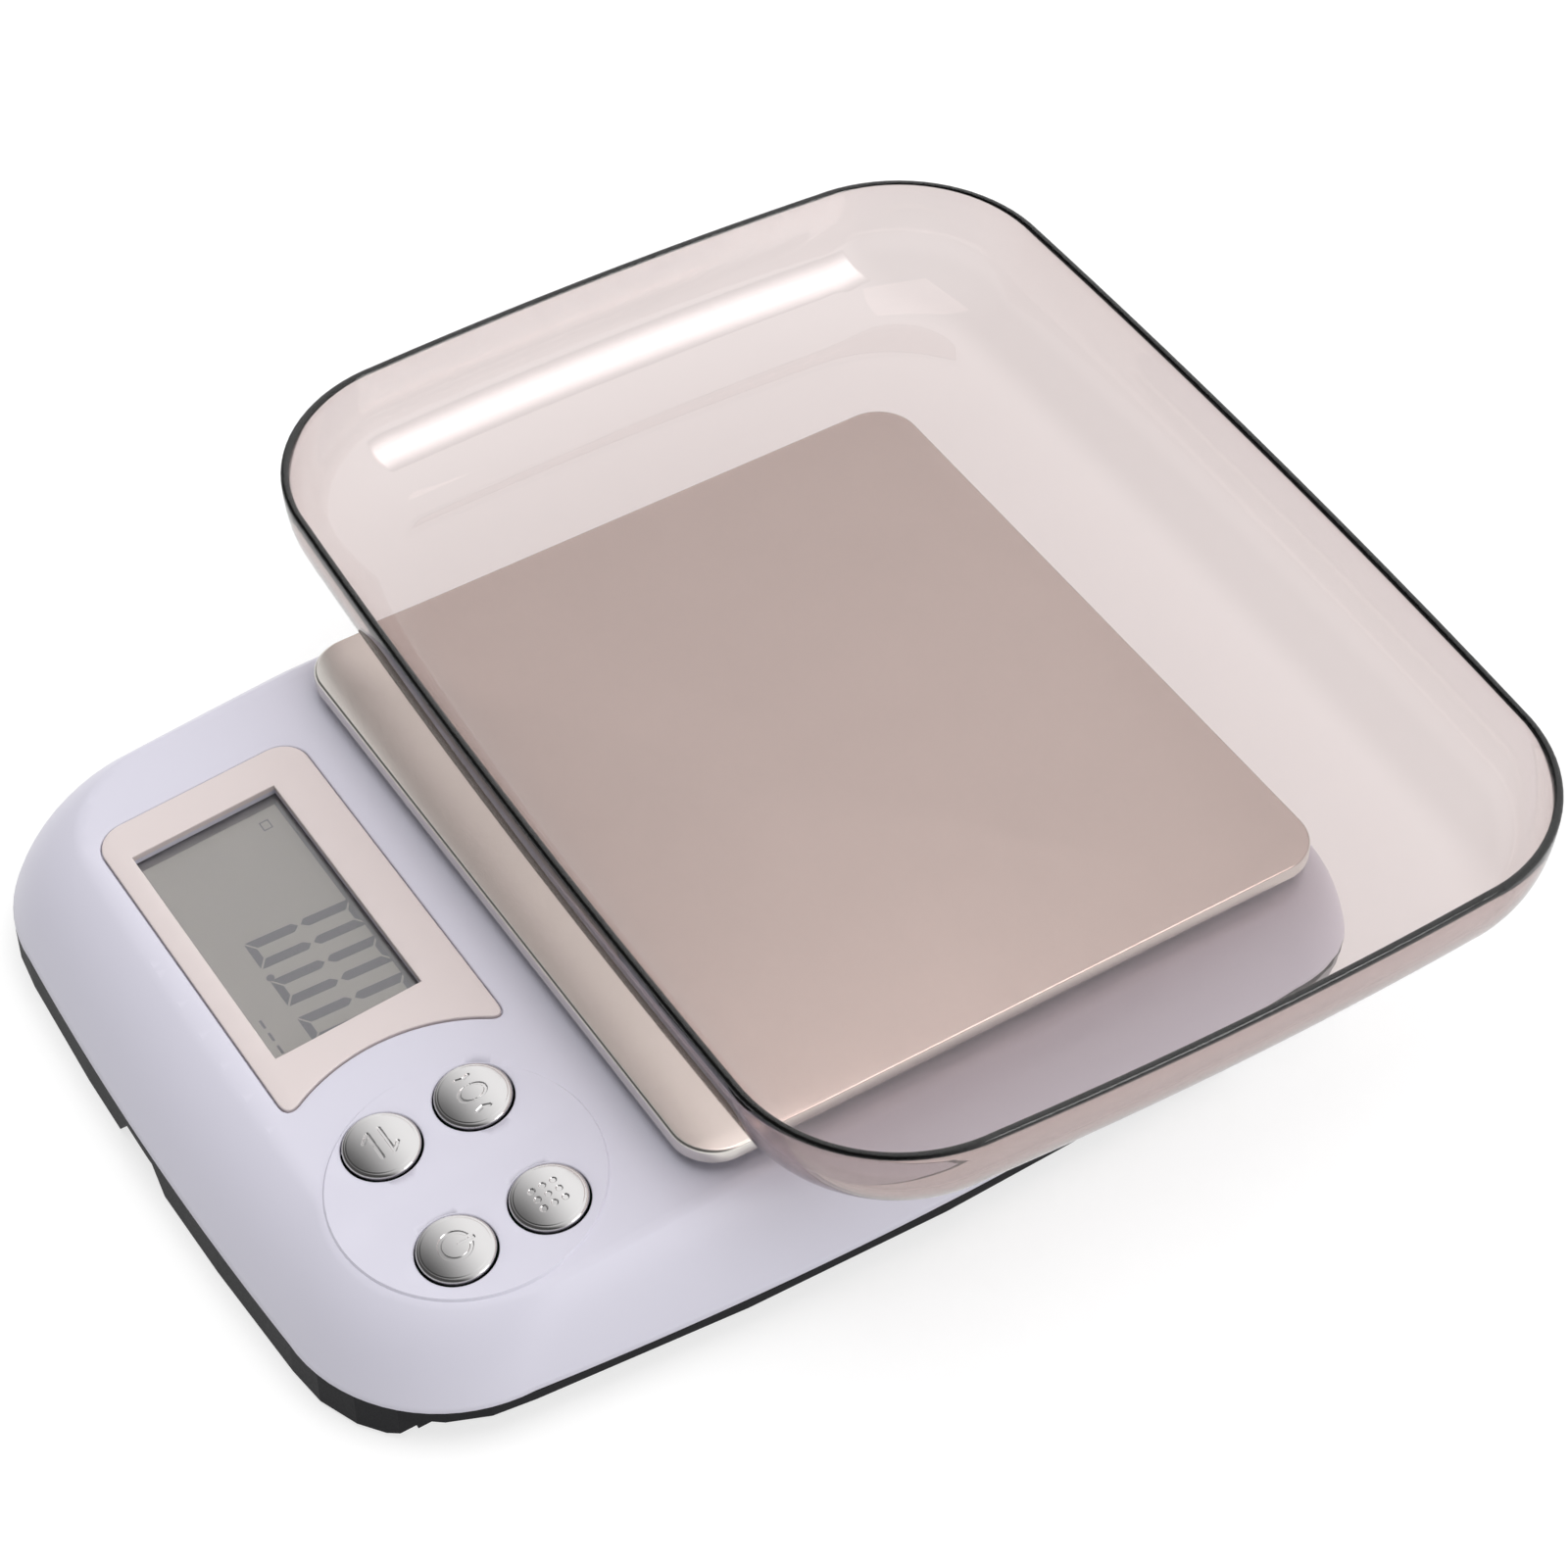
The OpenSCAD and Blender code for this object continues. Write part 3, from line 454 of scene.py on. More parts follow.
# Skirt rings from the crease down to the parting line, a filled panel inside the crease, and a
# rounded collar at each opening; the sheet then gets its thickness.
def buildUpperShell():
    s = shell
    bowX, bowY = s["creaseBow"]
    crease = bowedLoop(-s["creaseHalf"], s["creaseHalf"], s["creaseFront"],
                       s["creaseRear"] - panelStart, s["creaseRadii"], bowX, bowY)
    away = crease - np.array([padX, padV])
    reach = np.linalg.norm(away, axis=1, keepdims=True)
    least = s["padRadius"] + 0.5
    crease = np.where(reach < least, np.array([padX, padV]) + away / reach * least, crease)
    top = onPanel(crease[:, 0], crease[:, 1], relief(crease[:, 0], crease[:, 1]))
    footX, footY = s["footBow"]
    inset = s["footInset"]
    foot = bowedLoop(casingLow[0] + inset, casingHigh[0] - inset, casingLow[1] + inset,
                     casingHigh[1] - inset, s["footRadii"], footX, footY)
    lowZ = partingZ + s["partingGap"]
    foot = np.concatenate([foot, np.full((len(foot), 1), lowZ)], axis=1)
    control = top + (foot - top) * np.array([s["bulge"], s["bulge"], s["drop"]])
    t = np.linspace(0, 1, s["rings"])[:, None, None]
    skirt = (1 - t) ** 2 * top + 2 * t * (1 - t) * control + t ** 2 * foot
    verts = [skirt.reshape(-1, 3)]
    faces = [gridFaces(s["rings"], len(crease))]
    count = len(verts[0])

    def add(points, polys):
        nonlocal count
        verts.append(points)
        faces.append(np.asarray(polys) + count)
        count += len(points)

    edge = s["edgeRound"]
    fillet = [(edge * (1 - math.sin(a)), -edge * (1 - math.cos(a)))
              for a in np.linspace(0, math.pi / 2, 5)]
    holes = []
    for x, v in keyPlaces.values():
        loop = ringLoop(x, v, s["holeRadius"])
        holes.append(ringLoop(x, v, s["holeRadius"] + edge))
        add(*collar(loop, fillet + [(0, -s["holeDepth"])]))
    recess = bezelLoop() + outwards(bezelLoop()) * s["recessGap"]
    holes.append(recess + outwards(recess) * edge)
    floor = -s["recessDepth"]
    add(*collar(recess, fillet + [(0, floor), (-s["recessLedge"], floor)]))
    bossLow, bossHigh = nodeBox("load_spacer_free")
    mid = (bossLow + bossHigh) / 2
    halfWidth = (bossHigh[0] - bossLow[0]) / 2
    a = np.linspace(0, 2 * math.pi, 40, endpoint=False)
    wide = (bossHigh[1] - bossLow[1]) / 2 + s["bossGap"]
    reachX = halfWidth - wide + s["bossGap"]
    boss = np.stack([mid[0] + wide * np.cos(a) + np.sign(np.cos(a)) * reachX,
                     mid[1] - panelStart + wide * np.sin(a)], -1)
    holes.append(boss)
    rings = [ringLoop(padX, padV, s["padRadius"] + d, 180)
             for d in (-s["padEdge"], -s["padEdge"] / 2, 0.0)]
    ridge = np.arange(-s["valleySpan"], s["valleySpan"] + 1, 1.2)
    extra = np.concatenate([np.stack([np.full_like(ridge, s["valleyX"] + d), padV + ridge], -1)
                            for d in np.arange(-6, 7, 1.5)])
    flat, tris = sheetBetween(crease, holes, rings, s["spacing"], extra)
    add(onPanel(flat[:, 0], flat[:, 1], relief(flat[:, 0], flat[:, 1])), tris)
    allFaces = [f for part in faces for f in part]
    shellObj = makeObject("upperShell", np.concatenate(verts), allFaces, finish["white_shell"],
                          "casing", ["top_casing"], 50)
    mesh = shellObj.data
    if sum(p.normal.z * p.area for p in mesh.polygons) < 0:
        mesh.flip_normals()
    wall = shellObj.modifiers.new("thickness", "SOLIDIFY")
    wall.thickness = s["thickness"] * mm
    wall.offset = -1


buildUpperShell()
print("stage: upper shell")


display = {
    "margin": (2.6, 2.6),      # glass hidden behind the bezel on each side of the opening
    "digitHeight": 21.9,
    "digitWidth": 7.4,
    "digitStarts": (0.505, 0.687, 0.869),   # left edges, as shares of the opening's width
    "digitBase": 0.27,
    "bar": 2.15,
    "gap": 0.28,
    "slant": 0.09,
    "dot": (0.668, 0.285),
    # small signs: share of the width, share of the length, size across, size along
    "signs": [(0.075, 0.80, 0.25, 2.0), (0.112, 0.80, 0.25, 2.0), (0.079, 0.80, 2.0, 0.25),
              (0.079, 0.856, 2.0, 0.25), (0.80, 0.07, 2.2, 0.5), (0.86, 0.07, 2.2, 0.5),
              (0.92, 0.07, 2.2, 0.5)],
    "printedBorderAndShade": (1.8, 0.4, 0.4, 1.3),   # dark rim of the glass on the left, right, front and rear: its printed edge, widened on the left and rear as painted shade from the bezel's edge
    "halfLength": 18.0,        # of the glass, along the panel
    "digitShift": 0.5,
    "dotRadius": 0.8,
    # heights off the panel, lowest and highest
    "ink": (-2.99, -2.96),
    "rim": (-2.99, -2.93),
    "plate": (-2.75, -2.05),
    "wall": (-2.02, -1.02),
    "rimOverlap": 0.5,
    "plateMargin": 2.2,
    "wallThickness": 0.8,
}
glassX, glassV = panelPlace("lcd_panel")
glassLow, glassHigh = nodeBox("lcd_panel")
windowHalf = np.array([(glassHigh[0] - glassLow[0]) / 2 - display["margin"][0],
                       display["halfLength"] - display["margin"][1]])
windowLow = np.array([glassX, glassV]) - windowHalf
windowHigh = np.array([glassX, glassV]) + windowHalf


# Rectangle of the display opening with many points along each side.
def windowLoop(steps=12):
    low, high = windowLow, windowHigh
    t = np.linspace(0, 1, steps, endpoint=False)
    width, length = high - low
    xs, vs = low[0] + width * t, low[1] + length * t
    return np.concatenate([
        np.stack([np.full(steps, high[0]), vs], -1),
        np.stack([xs[::-1] + width / steps, np.full(steps, high[1])], -1),
        np.stack([np.full(steps, low[0]), vs[::-1] + length / steps], -1),
        np.stack([xs, np.full(steps, low[1])], -1)])


# Flat plate with rounded edges: a filled sheet on top, the same sheet below, and a rounded wall
# round its outline and round the window.
def buildBezel():
    b = bezel
    outline = bezelLoop()
    window = windowLoop()
    edge, rise, seat = b["edge"], b["rise"], -shell["recessDepth"] + b["seatGap"]
    a = np.linspace(0, math.pi / 2, 5)
    innerWall = [(edge * (1 - math.sin(x)), rise - edge * (1 - math.cos(x))) for x in a] + [(0, seat)]
    outerWall = [(-out, up) for out, up in innerWall]
    topOuter = outline - outwards(outline) * edge
    topWindow = window + outwards(window) * edge
    verts, faces, count = [], [], 0
    flat, tris = sheetBetween(topOuter, [topWindow], [], b["spacing"])
    low, lowTris = sheetBetween(outline, [window], [], b["underSpacing"])
    parts = [(onPanel(flat[:, 0], flat[:, 1], rise), tris),
             (onPanel(low[:, 0], low[:, 1], seat), lowTris)]
    for loop, wall in ((outline, outerWall), (window, innerWall)):
        normal = outwards(loop)
        rows = [onPanel(*(loop + normal * out).T, up) for out, up in wall]
        parts.append((np.concatenate(rows), gridFaces(len(wall), len(loop))))
    for points, polys in parts:
        verts.append(points)
        faces += [[i + count for i in f] for f in polys]
        count += len(points)
    makeObject("displayBezel", np.concatenate(verts), faces, finish["cream_panel"], "casing",
               ["display_bezel"], 40)


# Outlines of the six lit bars of a nought, from its lower left corner: long bars have one slanted and
# one pointed end, and bars are parted by thin gaps.
def digitBars(width, height, bar, gap):
    w, h, b, g = width, height, bar, gap
    mid = h / 2
    lowLeft = [(0, g), (0, mid - g - b * 0.45), (b * 0.5, mid - g), (b, mid - g - b * 0.55),
               (b, b * 0.75 + g)]
    highLeft = [(x, h - y) for x, y in lowLeft]
    lowRight = [(w - x, y) for x, y in lowLeft]
    highRight = [(w - x, h - y) for x, y in lowLeft]
    bottom = [(g, 0), (w - g, 0), (w - b - g, b * 0.75), (b + g, b * 0.75)]
    topBar = [(x, h - y) for x, y in bottom]
    return [lowLeft, highLeft, lowRight, highRight, bottom, topBar]


# A nought for each place and a round point, as thin raised plates on the display glass.
def buildDigits():
    d = display
    size = windowHigh - windowLow
    outlines = []
    for start in d["digitStarts"]:
        corner = windowLow + size * np.array([start, d["digitBase"]])
        for bar in digitBars(d["digitWidth"], d["digitHeight"], d["bar"], d["gap"]):
            bar = np.array(bar, float)
            bar[:, 0] += bar[:, 1] * d["slant"] - d["digitShift"]
            outlines.append(bar + corner)
    outlines.append(ringLoop(*(windowLow + size * np.array(d["dot"])), d["dotRadius"], 20))
    for x, v, w, l in d["signs"]:
        corner = windowLow + size * np.array([x, v])
        outlines.append(corner + np.array([(0, 0), (w, 0), (w, l), (0, l)]))
    verts, faces, count = [], [], 0
    low, high = d["ink"]
    for o in outlines:
        n = len(o)
        verts += [onPanel(o[:, 0], o[:, 1], low), onPanel(o[:, 0], o[:, 1], high)]
        faces += [list(range(count, count + n)), list(range(count + n, count + 2 * n))]
        faces += [list(f) for f in gridFaces(2, n, start=count)]
        count += 2 * n
    makeObject("displayDigits", np.concatenate(verts), faces, finish["lcdInk"], "casing")


def rectangle(low, high):
    return np.array([(low[0], low[1]), (high[0], low[1]), (high[0], high[1]), (low[0], high[1])])


# Thin clear plate under the bezel, a little thinner than the space it has.
def buildWindow():
    margin = display["plateMargin"]
    low, high = windowLow - margin, windowHigh + margin
    corners = rectangle(low, high)
    verts = np.concatenate([onPanel(corners[:, 0], corners[:, 1], w) for w in display["plate"]])
    faces = [[3, 2, 1, 0], [4, 5, 6, 7]] + [list(f) for f in gridFaces(2, 4)]
    makeObject("displayWindow", verts, faces, finish["clear_window"], "casing",
               ["display_window"])


# Flat dark frame on the glass just inside the opening: the glass's printed edge, made wider on the left and at the
# rear as painted shade that the bezel's edge casts.
def buildBorderAndPaintedShade():
    left, right, front, rear = display["printedBorderAndShade"]
    overlap = display["rimOverlap"]
    outer = rectangle(windowLow - overlap, windowHigh + overlap)
    inner = rectangle(windowLow + (left, front), windowHigh - (right, rear))
    low, high = display["rim"]
    rows = [(outer, low), (outer, high), (inner, high), (inner, low), (outer, low)]
    verts = np.concatenate([onPanel(o[:, 0], o[:, 1], w) for o, w in rows])
    makeObject("displayBorderAndPaintedShade", verts, gridFaces(5, 4), finish["lcdPrintAndPaintedShade"], "casing")


# Walls of the opening, from the bezel's seat down to the clear plate.
def buildOpening():
    loop = windowLoop()
    normal = outwards(loop)
    low, high = display["wall"]
    wide = display["wallThickness"]
    corners = [(0, high), (0, low), (wide, low), (wide, high), (0, high)]
    rows = [onPanel(*(loop + normal * out).T, up) for out, up in corners]
    makeObject("displayOpening", np.concatenate(rows), gridFaces(5, len(loop)), finish["white_shell"],
               "casing")


buildBezel()
buildOpening()
buildBorderAndPaintedShade()
buildDigits()
buildWindow()
print("stage: display")


cell = {
    "pitch": 5.5,                     # from the bar's middle to each round window's middle
    "radius": 5.1,
    "opening": math.radians(158),     # half the angle that each window's arc runs over
    "spacing": 2.0,
}


# Bar of the load cell with its two joined round windows.
def buildLoadCell():
    low, high = nodeBox("load_cell")
    mid = (low + high) / 2
    count = 50
    xs = np.linspace(low[0], high[0], count, endpoint=False)
    outline = np.concatenate([
        np.stack([xs, np.full(count, low[2])], -1),
        np.stack([np.full(8, high[0]), np.linspace(low[2], high[2], 8, endpoint=False)], -1),
        np.stack([low[0] + high[0] - xs, np.full(count, high[2])], -1),
        np.stack([np.full(8, low[0]), np.linspace(high[2], low[2], 8, endpoint=False)], -1)])
    c = cell
    a = np.linspace(-c["opening"], c["opening"], 30)
    arc = np.stack([c["pitch"] + c["radius"] * np.cos(a), c["radius"] * np.sin(a)], -1)
    window = np.concatenate([arc, -arc]) + np.array([mid[0], mid[2]])
    flat, tris = sheetBetween(outline, [window], [], c["spacing"])
    verts, faces, total = [], [], 0
    for y in (low[1], high[1]):
        verts.append(np.stack([flat[:, 0], np.full(len(flat), y), flat[:, 1]], -1))
        faces += [[i + total for i in f] for f in tris]
        total += len(flat)
    for loop in (outline, window):
        rows = [np.stack([loop[:, 0], np.full(len(loop), y), loop[:, 1]], -1)
                for y in (low[1], high[1])]
        verts.append(np.concatenate(rows))
        faces += [list(f) for f in gridFaces(2, len(loop), start=total)]
        total += 2 * len(loop)
    bar = makeObject("loadCell", np.concatenate(verts), faces, finish["bar_aluminium"], None,
                     ["load_cell"], 30)
    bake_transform(bar)


buildLoadCell()
print("stage: load cell")


key = {
    "radius": 7.25,
    "shoulder": 6.35,       # where the crown ends and the rolled edge begins
    "top": 1.95,            # crown height above the panel
    "crown": 0.62,
    "step": 0.06,           # small step between crown and rolled edge
    "sideTop": 0.75,
    "bottom": -2.2,
    "rings": 78,
    "spokes": 192,
    "engraving": 0.2,
    "edge": 0.10,           # width of the engraving's sloping edge
    "eye": 0.02,            # radius of the crown's innermost ring
    "groove": 0.08,         # between crown and rolled edge
    "bevel": 0.3,
}


# Distance from points to a round-ended stroke between a and b.
def stroke(p, a, b, half):
    a, b = np.array(a, float), np.array(b, float)
    t = np.clip(((p - a) @ (b - a)) / ((b - a) @ (b - a)), 0, 1)[:, None]
    return np.linalg.norm(p - a - t * (b - a), axis=1) - half


def ringStroke(p, radius, half, squash=1.0):
    q = p * np.array([1 / squash, 1])
    return np.abs(np.linalg.norm(q, axis=1) - radius) - half


# Two arrows that point opposite ways.
def markUnit(p):
    arrows = []
    for s in (1, -1):
        arrows += [stroke(p, (-3.0 * s, 1.2 * s), (3.0 * s, 1.2 * s), 0.3),
                   stroke(p, (3.0 * s, 1.2 * s), (1.5 * s, 2.7 * s), 0.3)]
    return np.min(arrows, axis=0)


# A nought between two arrowheads that point at it.
def markZero(p):
    heads = [stroke(p, (x, y), (1.15 * x * 0.78, 0), 0.28)
             for x in (-4.1, 4.1) for y in (-1.3, 1.3)]
    return np.min([ringStroke(p, 2.6, 0.32, 0.68)] + heads, axis=0)


# An open ring with an upright stroke in its gap.
def markPower(p):
    ring = ringStroke(p, 2.9, 0.32)
    gap = stroke(p, (0, 1.6), (0, 5), 0.95)
    return np.minimum(np.maximum(ring, -gap), stroke(p, (0, 0.8), (0, 3.6), 0.32))


# Rows of small counters.
def markCount(p):
    places = (-2.2, 0, 2.2)
    dots = [np.linalg.norm(p - np.array([x, y]), axis=1) - 0.62 for x in places for y in places]
    return np.min(dots, axis=0)


marks = {"unit": markUnit, "zero": markZero, "power": markPower, "count": markCount}


# Surface of revolution: a shallow crown with its mark cut in, a small step, a rolled edge, a
# straight side and a flat base.
def buildKey(name):
    k = key
    x0, v0 = keyPlaces[name]
    crownR = np.linspace(k["eye"], k["shoulder"], k["rings"])
    crownW = k["top"] - k["crown"] * (crownR / k["shoulder"]) ** 2
    a = np.linspace(0, math.pi / 2, 9)
    roll = k["radius"] - k["shoulder"] - k["groove"]
    fall = crownW[-1] - k["step"] - k["sideTop"]
    edgeR = k["shoulder"] + k["groove"] + roll * np.sin(a)
    edgeW = k["sideTop"] + fall * np.cos(a)
    radius = np.concatenate([crownR, edgeR, [k["radius"], k["radius"] - k["bevel"]]])
    height = np.concatenate([crownW, edgeW, [k["bottom"] + k["bevel"], k["bottom"]]])
    theta = np.linspace(0, 2 * math.pi, k["spokes"], endpoint=False)
    px = radius[:, None] * np.cos(theta)
    pv = radius[:, None] * np.sin(theta)
    w = np.repeat(height[:, None], k["spokes"], axis=1)
    rows = k["rings"]
    spots = np.stack([px[:rows].ravel(), pv[:rows].ravel()], -1)
    cut = smoothStep((k["edge"] / 2 - marks[name](spots)) / k["edge"]) * k["engraving"]
    w[:rows] -= cut.reshape(rows, -1)
    verts = onPanel(x0 + px, v0 + pv, w).reshape(-1, 3)
    faces = [list(f) for f in gridFaces(len(radius), k["spokes"])]
    faces.append(list(range(k["spokes"])))
    faces.append(list(range(len(verts) - k["spokes"], len(verts))))
    makeObject("key" + name.capitalize(), verts, faces, finish["chromed_cap"], "key_" + name,
               ["button_" + name], 45)


for keyName in keyPlaces:
    buildKey(keyName)
print("stage: keys")


plate = {
    "corner": 9.0,
    "roundTop": 0.7,
    "thickness": 0.8,
    "steps": 6,
    "outerHem": (0.12, 0.15),    # bevel at the skirt's foot, in and up
    "innerHem": 0.1,
    "innerCorner": 0.3,
}


# Rings of points, one per profile step, from flat loops and their heights.
def carried(loops, heights, cols):
    rows = [np.concatenate([l, np.full((cols, 1), z)], axis=1) for l, z in zip(loops, heights)]
    return np.concatenate(rows)


def insetLoop(low, high, radius, inset, side=10, corner=16, bow=(0.0, 0.0)):
    r = max(radius - inset, 0.3)
    return bowedLoop(low[0] + inset, high[0] - inset, low[1] + inset, high[1] - inset,
                     (r, r, r, r), bow[0], bow[1], side, corner)


# Pressed sheet: the top, a rounded edge, the skirt, and the same inside at a sheet's thickness; the
# profile is carried round the platform's outline.
def buildPlatform():
    p = plate
    low, high = platformLow, platformHigh
    top, bottom, r, t = high[2], low[2], p["roundTop"], p["thickness"]
    a = np.linspace(0, math.pi / 2, p["steps"])
    profile = [(r * (1 - math.sin(x)), top - r * (1 - math.cos(x))) for x in a]
    hemIn, hemUp = p["outerHem"]
    hem, bend = p["innerHem"], p["innerCorner"]
    profile += [(0, bottom + hemUp), (hemIn, bottom), (t - hem, bottom), (t, bottom + hem),
                (t, top - t - bend), (t + bend, top - t)]
    loops = [insetLoop(low, high, p["corner"], d) for d, z in profile]
    cols = len(loops[0])
    verts = carried(loops, [z for d, z in profile], cols)
    faces = [list(f) for f in gridFaces(len(profile), cols)]
    faces.append(list(range(cols)))
    faces.append(list(range(len(verts) - cols, len(verts))))
    makeObject("weighingPlatform", verts, faces, finish["brushed_platform"], "platform",
               ["weighing_platform"], 30)


buildPlatform()
print("stage: platform")


tray = {
    "size": (233.8, 175.4),
    "corner": 33.9,
    "bow": 1.5,
    "reach": 22.0,      # how far the curved wall reaches in over the floor
    "power": 2.25,      # 2 gives an elliptic wall section, more a squarer one
    "wall": 1.75,
    "lip": 0.72,
    "steps": 20,
    "turn": -1.2,
}


# Dish: the underside, a curved wall, a rounded lip, and the same inside; the profile is
# carried round the rim's outline.
def buildTray():
    p = tray
    high = np.array(p["size"]) / 2
    low = -high
    floor, rim, t = trayLow[2], trayHigh[2], p["wall"]
    angles = np.linspace(0, math.pi / 2, p["steps"])
    flat = 2 / p["power"]

    def section(inset, bottom, top):
        reach = p["reach"] - inset
        return [(inset + reach * (1 - math.sin(x) ** flat),
                 bottom + (top - bottom) * (1 - max(math.cos(x), 0) ** flat)) for x in angles]

    r = p["lip"]
    b = np.linspace(0, math.pi / 2, 5)
    lip = [(r * (1 - math.cos(x)), rim - r * (1 - math.sin(x))) for x in b]
    lip += [(t - r + r * math.sin(x), rim - r * (1 - math.cos(x))) for x in b]
    profile = section(0, floor, rim - r) + lip + section(t, floor + t, rim - r)[::-1]
    bow = (p["bow"], p["bow"])
    loops = [insetLoop(low, high, p["corner"], d, 30, 20, bow) for d, z in profile]
    cols = len(loops[0])
    verts = carried(loops, [z for d, z in profile], cols)
    turn = math.radians(p["turn"])
    spin = np.array([[math.cos(turn), -math.sin(turn)], [math.sin(turn), math.cos(turn)]])
    verts[:, :2] = verts[:, :2] @ spin.T + ((trayLow + trayHigh) / 2)[:2]
    faces = [list(f) for f in gridFaces(len(profile), cols)]
    faces.append(list(range(cols)))
    faces.append(list(range(len(verts) - cols, len(verts))))
    makeObject("weighingTray", verts, faces, finish["smoked_clear"], "tray",
               ["weighing_tray"], 30)


buildTray()
print("stage: tray")


floorSettings = {"half": 3.0, "grey": 0.32, "roughness": 0.8, "glow": 0.72}
overhead = {"place": (-0.02, -0.1, 1.3), "aim": (0, 0, 0), "size": (1.0, 1.0), "power": 8.5}
softBox = {
    "place": (0.66, 0.345, 0.58),
    "aim": (-0.1, 0.03, 0.045),
    "size": (0.36, 0.85),
    "strength": 7,
    "fadeStart": (0.85, 0.15),    # shares of the half width and half length that stay bright
}


# Flat sheet round the origin, as a new mesh.
def flatSheet(name, halfX, halfY):
    mesh = bpy.data.meshes.new(name)
    corners = [(-halfX, -halfY, 0), (halfX, -halfY, 0), (halfX, halfY, 0), (-halfX, halfY, 0)]
    mesh.from_pydata(corners, [], [(0, 1, 2, 3)])
    return mesh


# Turns an object at a place so that it faces a point.
def faceTowards(obj, place, aim):
    obj.location = place
    obj.rotation_euler = (Vector(aim) - Vector(place)).to_track_quat("-Z", "Y").to_euler()


# Two sockets, or a socket and a number, joined by one operation.
def addMath(tree, operation, first, second=None):
    node = tree.nodes.new("ShaderNodeMath")
    node.operation = operation
    tree.links.new(first, node.inputs[0])
    if isinstance(second, (int, float)):
        node.inputs[1].default_value = second
    elif second is not None:
        tree.links.new(second, node.inputs[1])
    return node.outputs["Value"]


# Smooth change from one value to another as the source goes from start to end.
def addFade(tree, source, start, end, before, after):
    fade = tree.nodes.new("ShaderNodeMapRange")
    fade.interpolation_type = "SMOOTHSTEP"
    fade.inputs["From Min"].default_value = start
    fade.inputs["From Max"].default_value = end
    fade.inputs["To Min"].default_value = before
    fade.inputs["To Max"].default_value = after
    tree.links.new(source, fade.inputs["Value"])
    return fade.outputs["Result"]


# Pale floor with a little glow of its own.
def buildStage():
    f = floorSettings
    mesh = flatSheet("floor", f["half"], f["half"])
    floor = bpy.data.objects.new("floor", mesh)
    material, tree, shader = newMaterial("paleFloor")
    shader.inputs["Base Color"].default_value = (*grey(f["grey"]), 1)
    shader.inputs["Roughness"].default_value = f["roughness"]
    shader.inputs["Emission Color"].default_value = (1, 1, 1, 1)
    shader.inputs["Emission Strength"].default_value = f["glow"]
    mesh.materials.append(material)
    bpy.context.scene.collection.objects.link(floor)


# Large light above the scale, left out of its reflections.
def addOverhead():
    light = bpy.data.lights.new("overhead", "AREA")
    light.shape = "RECTANGLE"
    light.size, light.size_y = overhead["size"]
    light.energy = overhead["power"]
    obj = bpy.data.objects.new("overhead", light)
    faceTowards(obj, overhead["place"], overhead["aim"])
    obj.visible_glossy = False
    bpy.context.scene.collection.objects.link(obj)


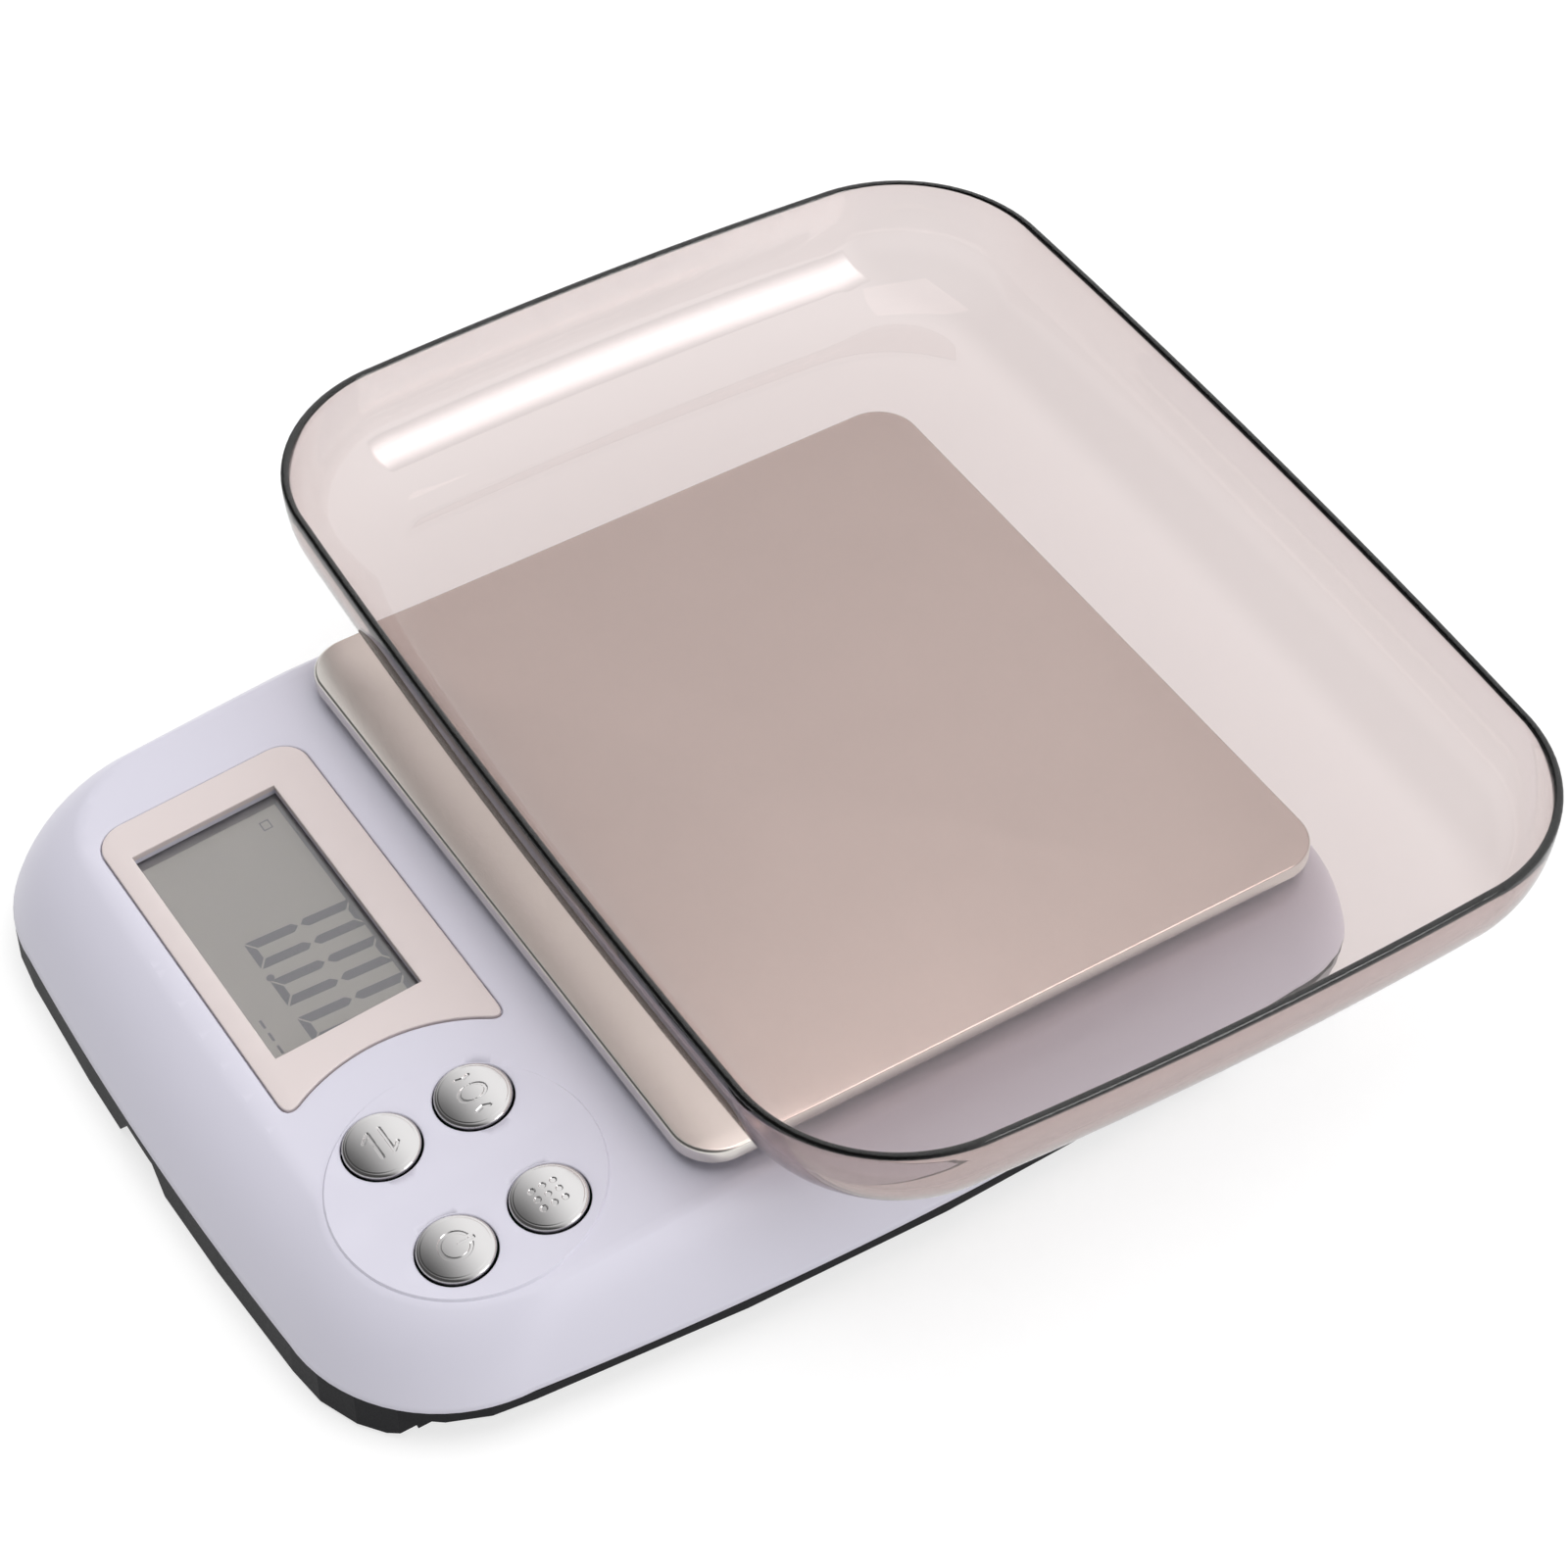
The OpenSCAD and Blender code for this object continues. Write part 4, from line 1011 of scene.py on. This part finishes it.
# A glowing plane that fades towards its edges. It only shows in reflections, as a soft highlight.
def addSoftBox():
    b = softBox
    halves = b["size"][0] / 2, b["size"][1] / 2
    mesh = flatSheet("softBox", *halves)
    material = bpy.data.materials.new("softBoxGlow")
    material.use_nodes = True
    tree = material.node_tree
    tree.nodes.clear()
    coords = tree.nodes.new("ShaderNodeTexCoord")
    split = tree.nodes.new("ShaderNodeSeparateXYZ")
    tree.links.new(coords.outputs["Object"], split.inputs["Vector"])
    fades = []
    for axis, half, start in zip("XY", halves, b["fadeStart"]):
        away = addMath(tree, "ABSOLUTE", split.outputs[axis])
        fades.append(addFade(tree, away, half * start, half, 1.0, 0.0))
    power = addMath(tree, "MULTIPLY", addMath(tree, "MULTIPLY", *fades), b["strength"])
    glow = tree.nodes.new("ShaderNodeEmission")
    tree.links.new(power, glow.inputs["Strength"])
    output = tree.nodes.new("ShaderNodeOutputMaterial")
    tree.links.new(glow.outputs["Emission"], output.inputs["Surface"])
    mesh.materials.append(material)
    box = bpy.data.objects.new("softBox", mesh)
    faceTowards(box, b["place"], b["aim"])
    box.visible_camera = False
    box.visible_diffuse = False
    box.visible_shadow = False
    bpy.context.scene.collection.objects.link(box)


cameraSettings = {
    "aim": (0.0052, 0.0095, 0.034),
    "distance": 0.7996,
    "azimuth": 57.56,
    "elevation": 46.98,
    "lens": 95.96,
    "sensor": 36,
}


def buildCamera():
    c = cameraSettings
    az, el = math.radians(c["azimuth"]), math.radians(c["elevation"])
    direction = Vector((math.sin(az) * math.cos(el), -math.cos(az) * math.cos(el), math.sin(el)))
    camera = bpy.data.cameras.new("camera")
    camera.lens = c["lens"]
    camera.sensor_width = c["sensor"]
    camera.clip_start = 0.01
    obj = bpy.data.objects.new("camera", camera)
    obj.location = Vector(c["aim"]) + direction * c["distance"]
    obj.rotation_euler = direction.to_track_quat("Z", "Y").to_euler()
    bpy.context.scene.collection.objects.link(obj)
    bpy.context.scene.camera = obj


dome = {
    "backStart": -0.30,    # the share of +Y in a direction where the back begins to brighten
    "backEnd": 0.35,
    "front": 0.10,
    "back": 1.45,
    "bandTop": 0.25,       # the share of +Z where the low band begins to fade
    "bandEnd": 0.5,
    "band": 0.5,
}


# Studio dome: bright behind and above the scale, dim in front of it, with a bright band low down
# all round.
def buildWorld():
    d = dome
    world = bpy.data.worlds.new("studio")
    bpy.context.scene.world = world
    world.use_nodes = True
    tree = world.node_tree
    coords = tree.nodes.new("ShaderNodeTexCoord")
    split = tree.nodes.new("ShaderNodeSeparateXYZ")
    tree.links.new(coords.outputs["Generated"], split.inputs["Vector"])
    back = addFade(tree, split.outputs["Y"], d["backStart"], d["backEnd"], d["front"], d["back"])
    low = addFade(tree, split.outputs["Z"], d["bandTop"], d["bandEnd"], d["band"], 0.0)
    tree.links.new(addMath(tree, "MAXIMUM", back, low), tree.nodes["Background"].inputs["Strength"])
    tree.nodes["Background"].inputs["Color"].default_value = (1, 1, 1, 1)


buildStage()
buildCamera()
buildWorld()
addOverhead()
addSoftBox()
bpy.context.scene.view_settings.view_transform = "Standard"
print("stage: floor, light and camera")
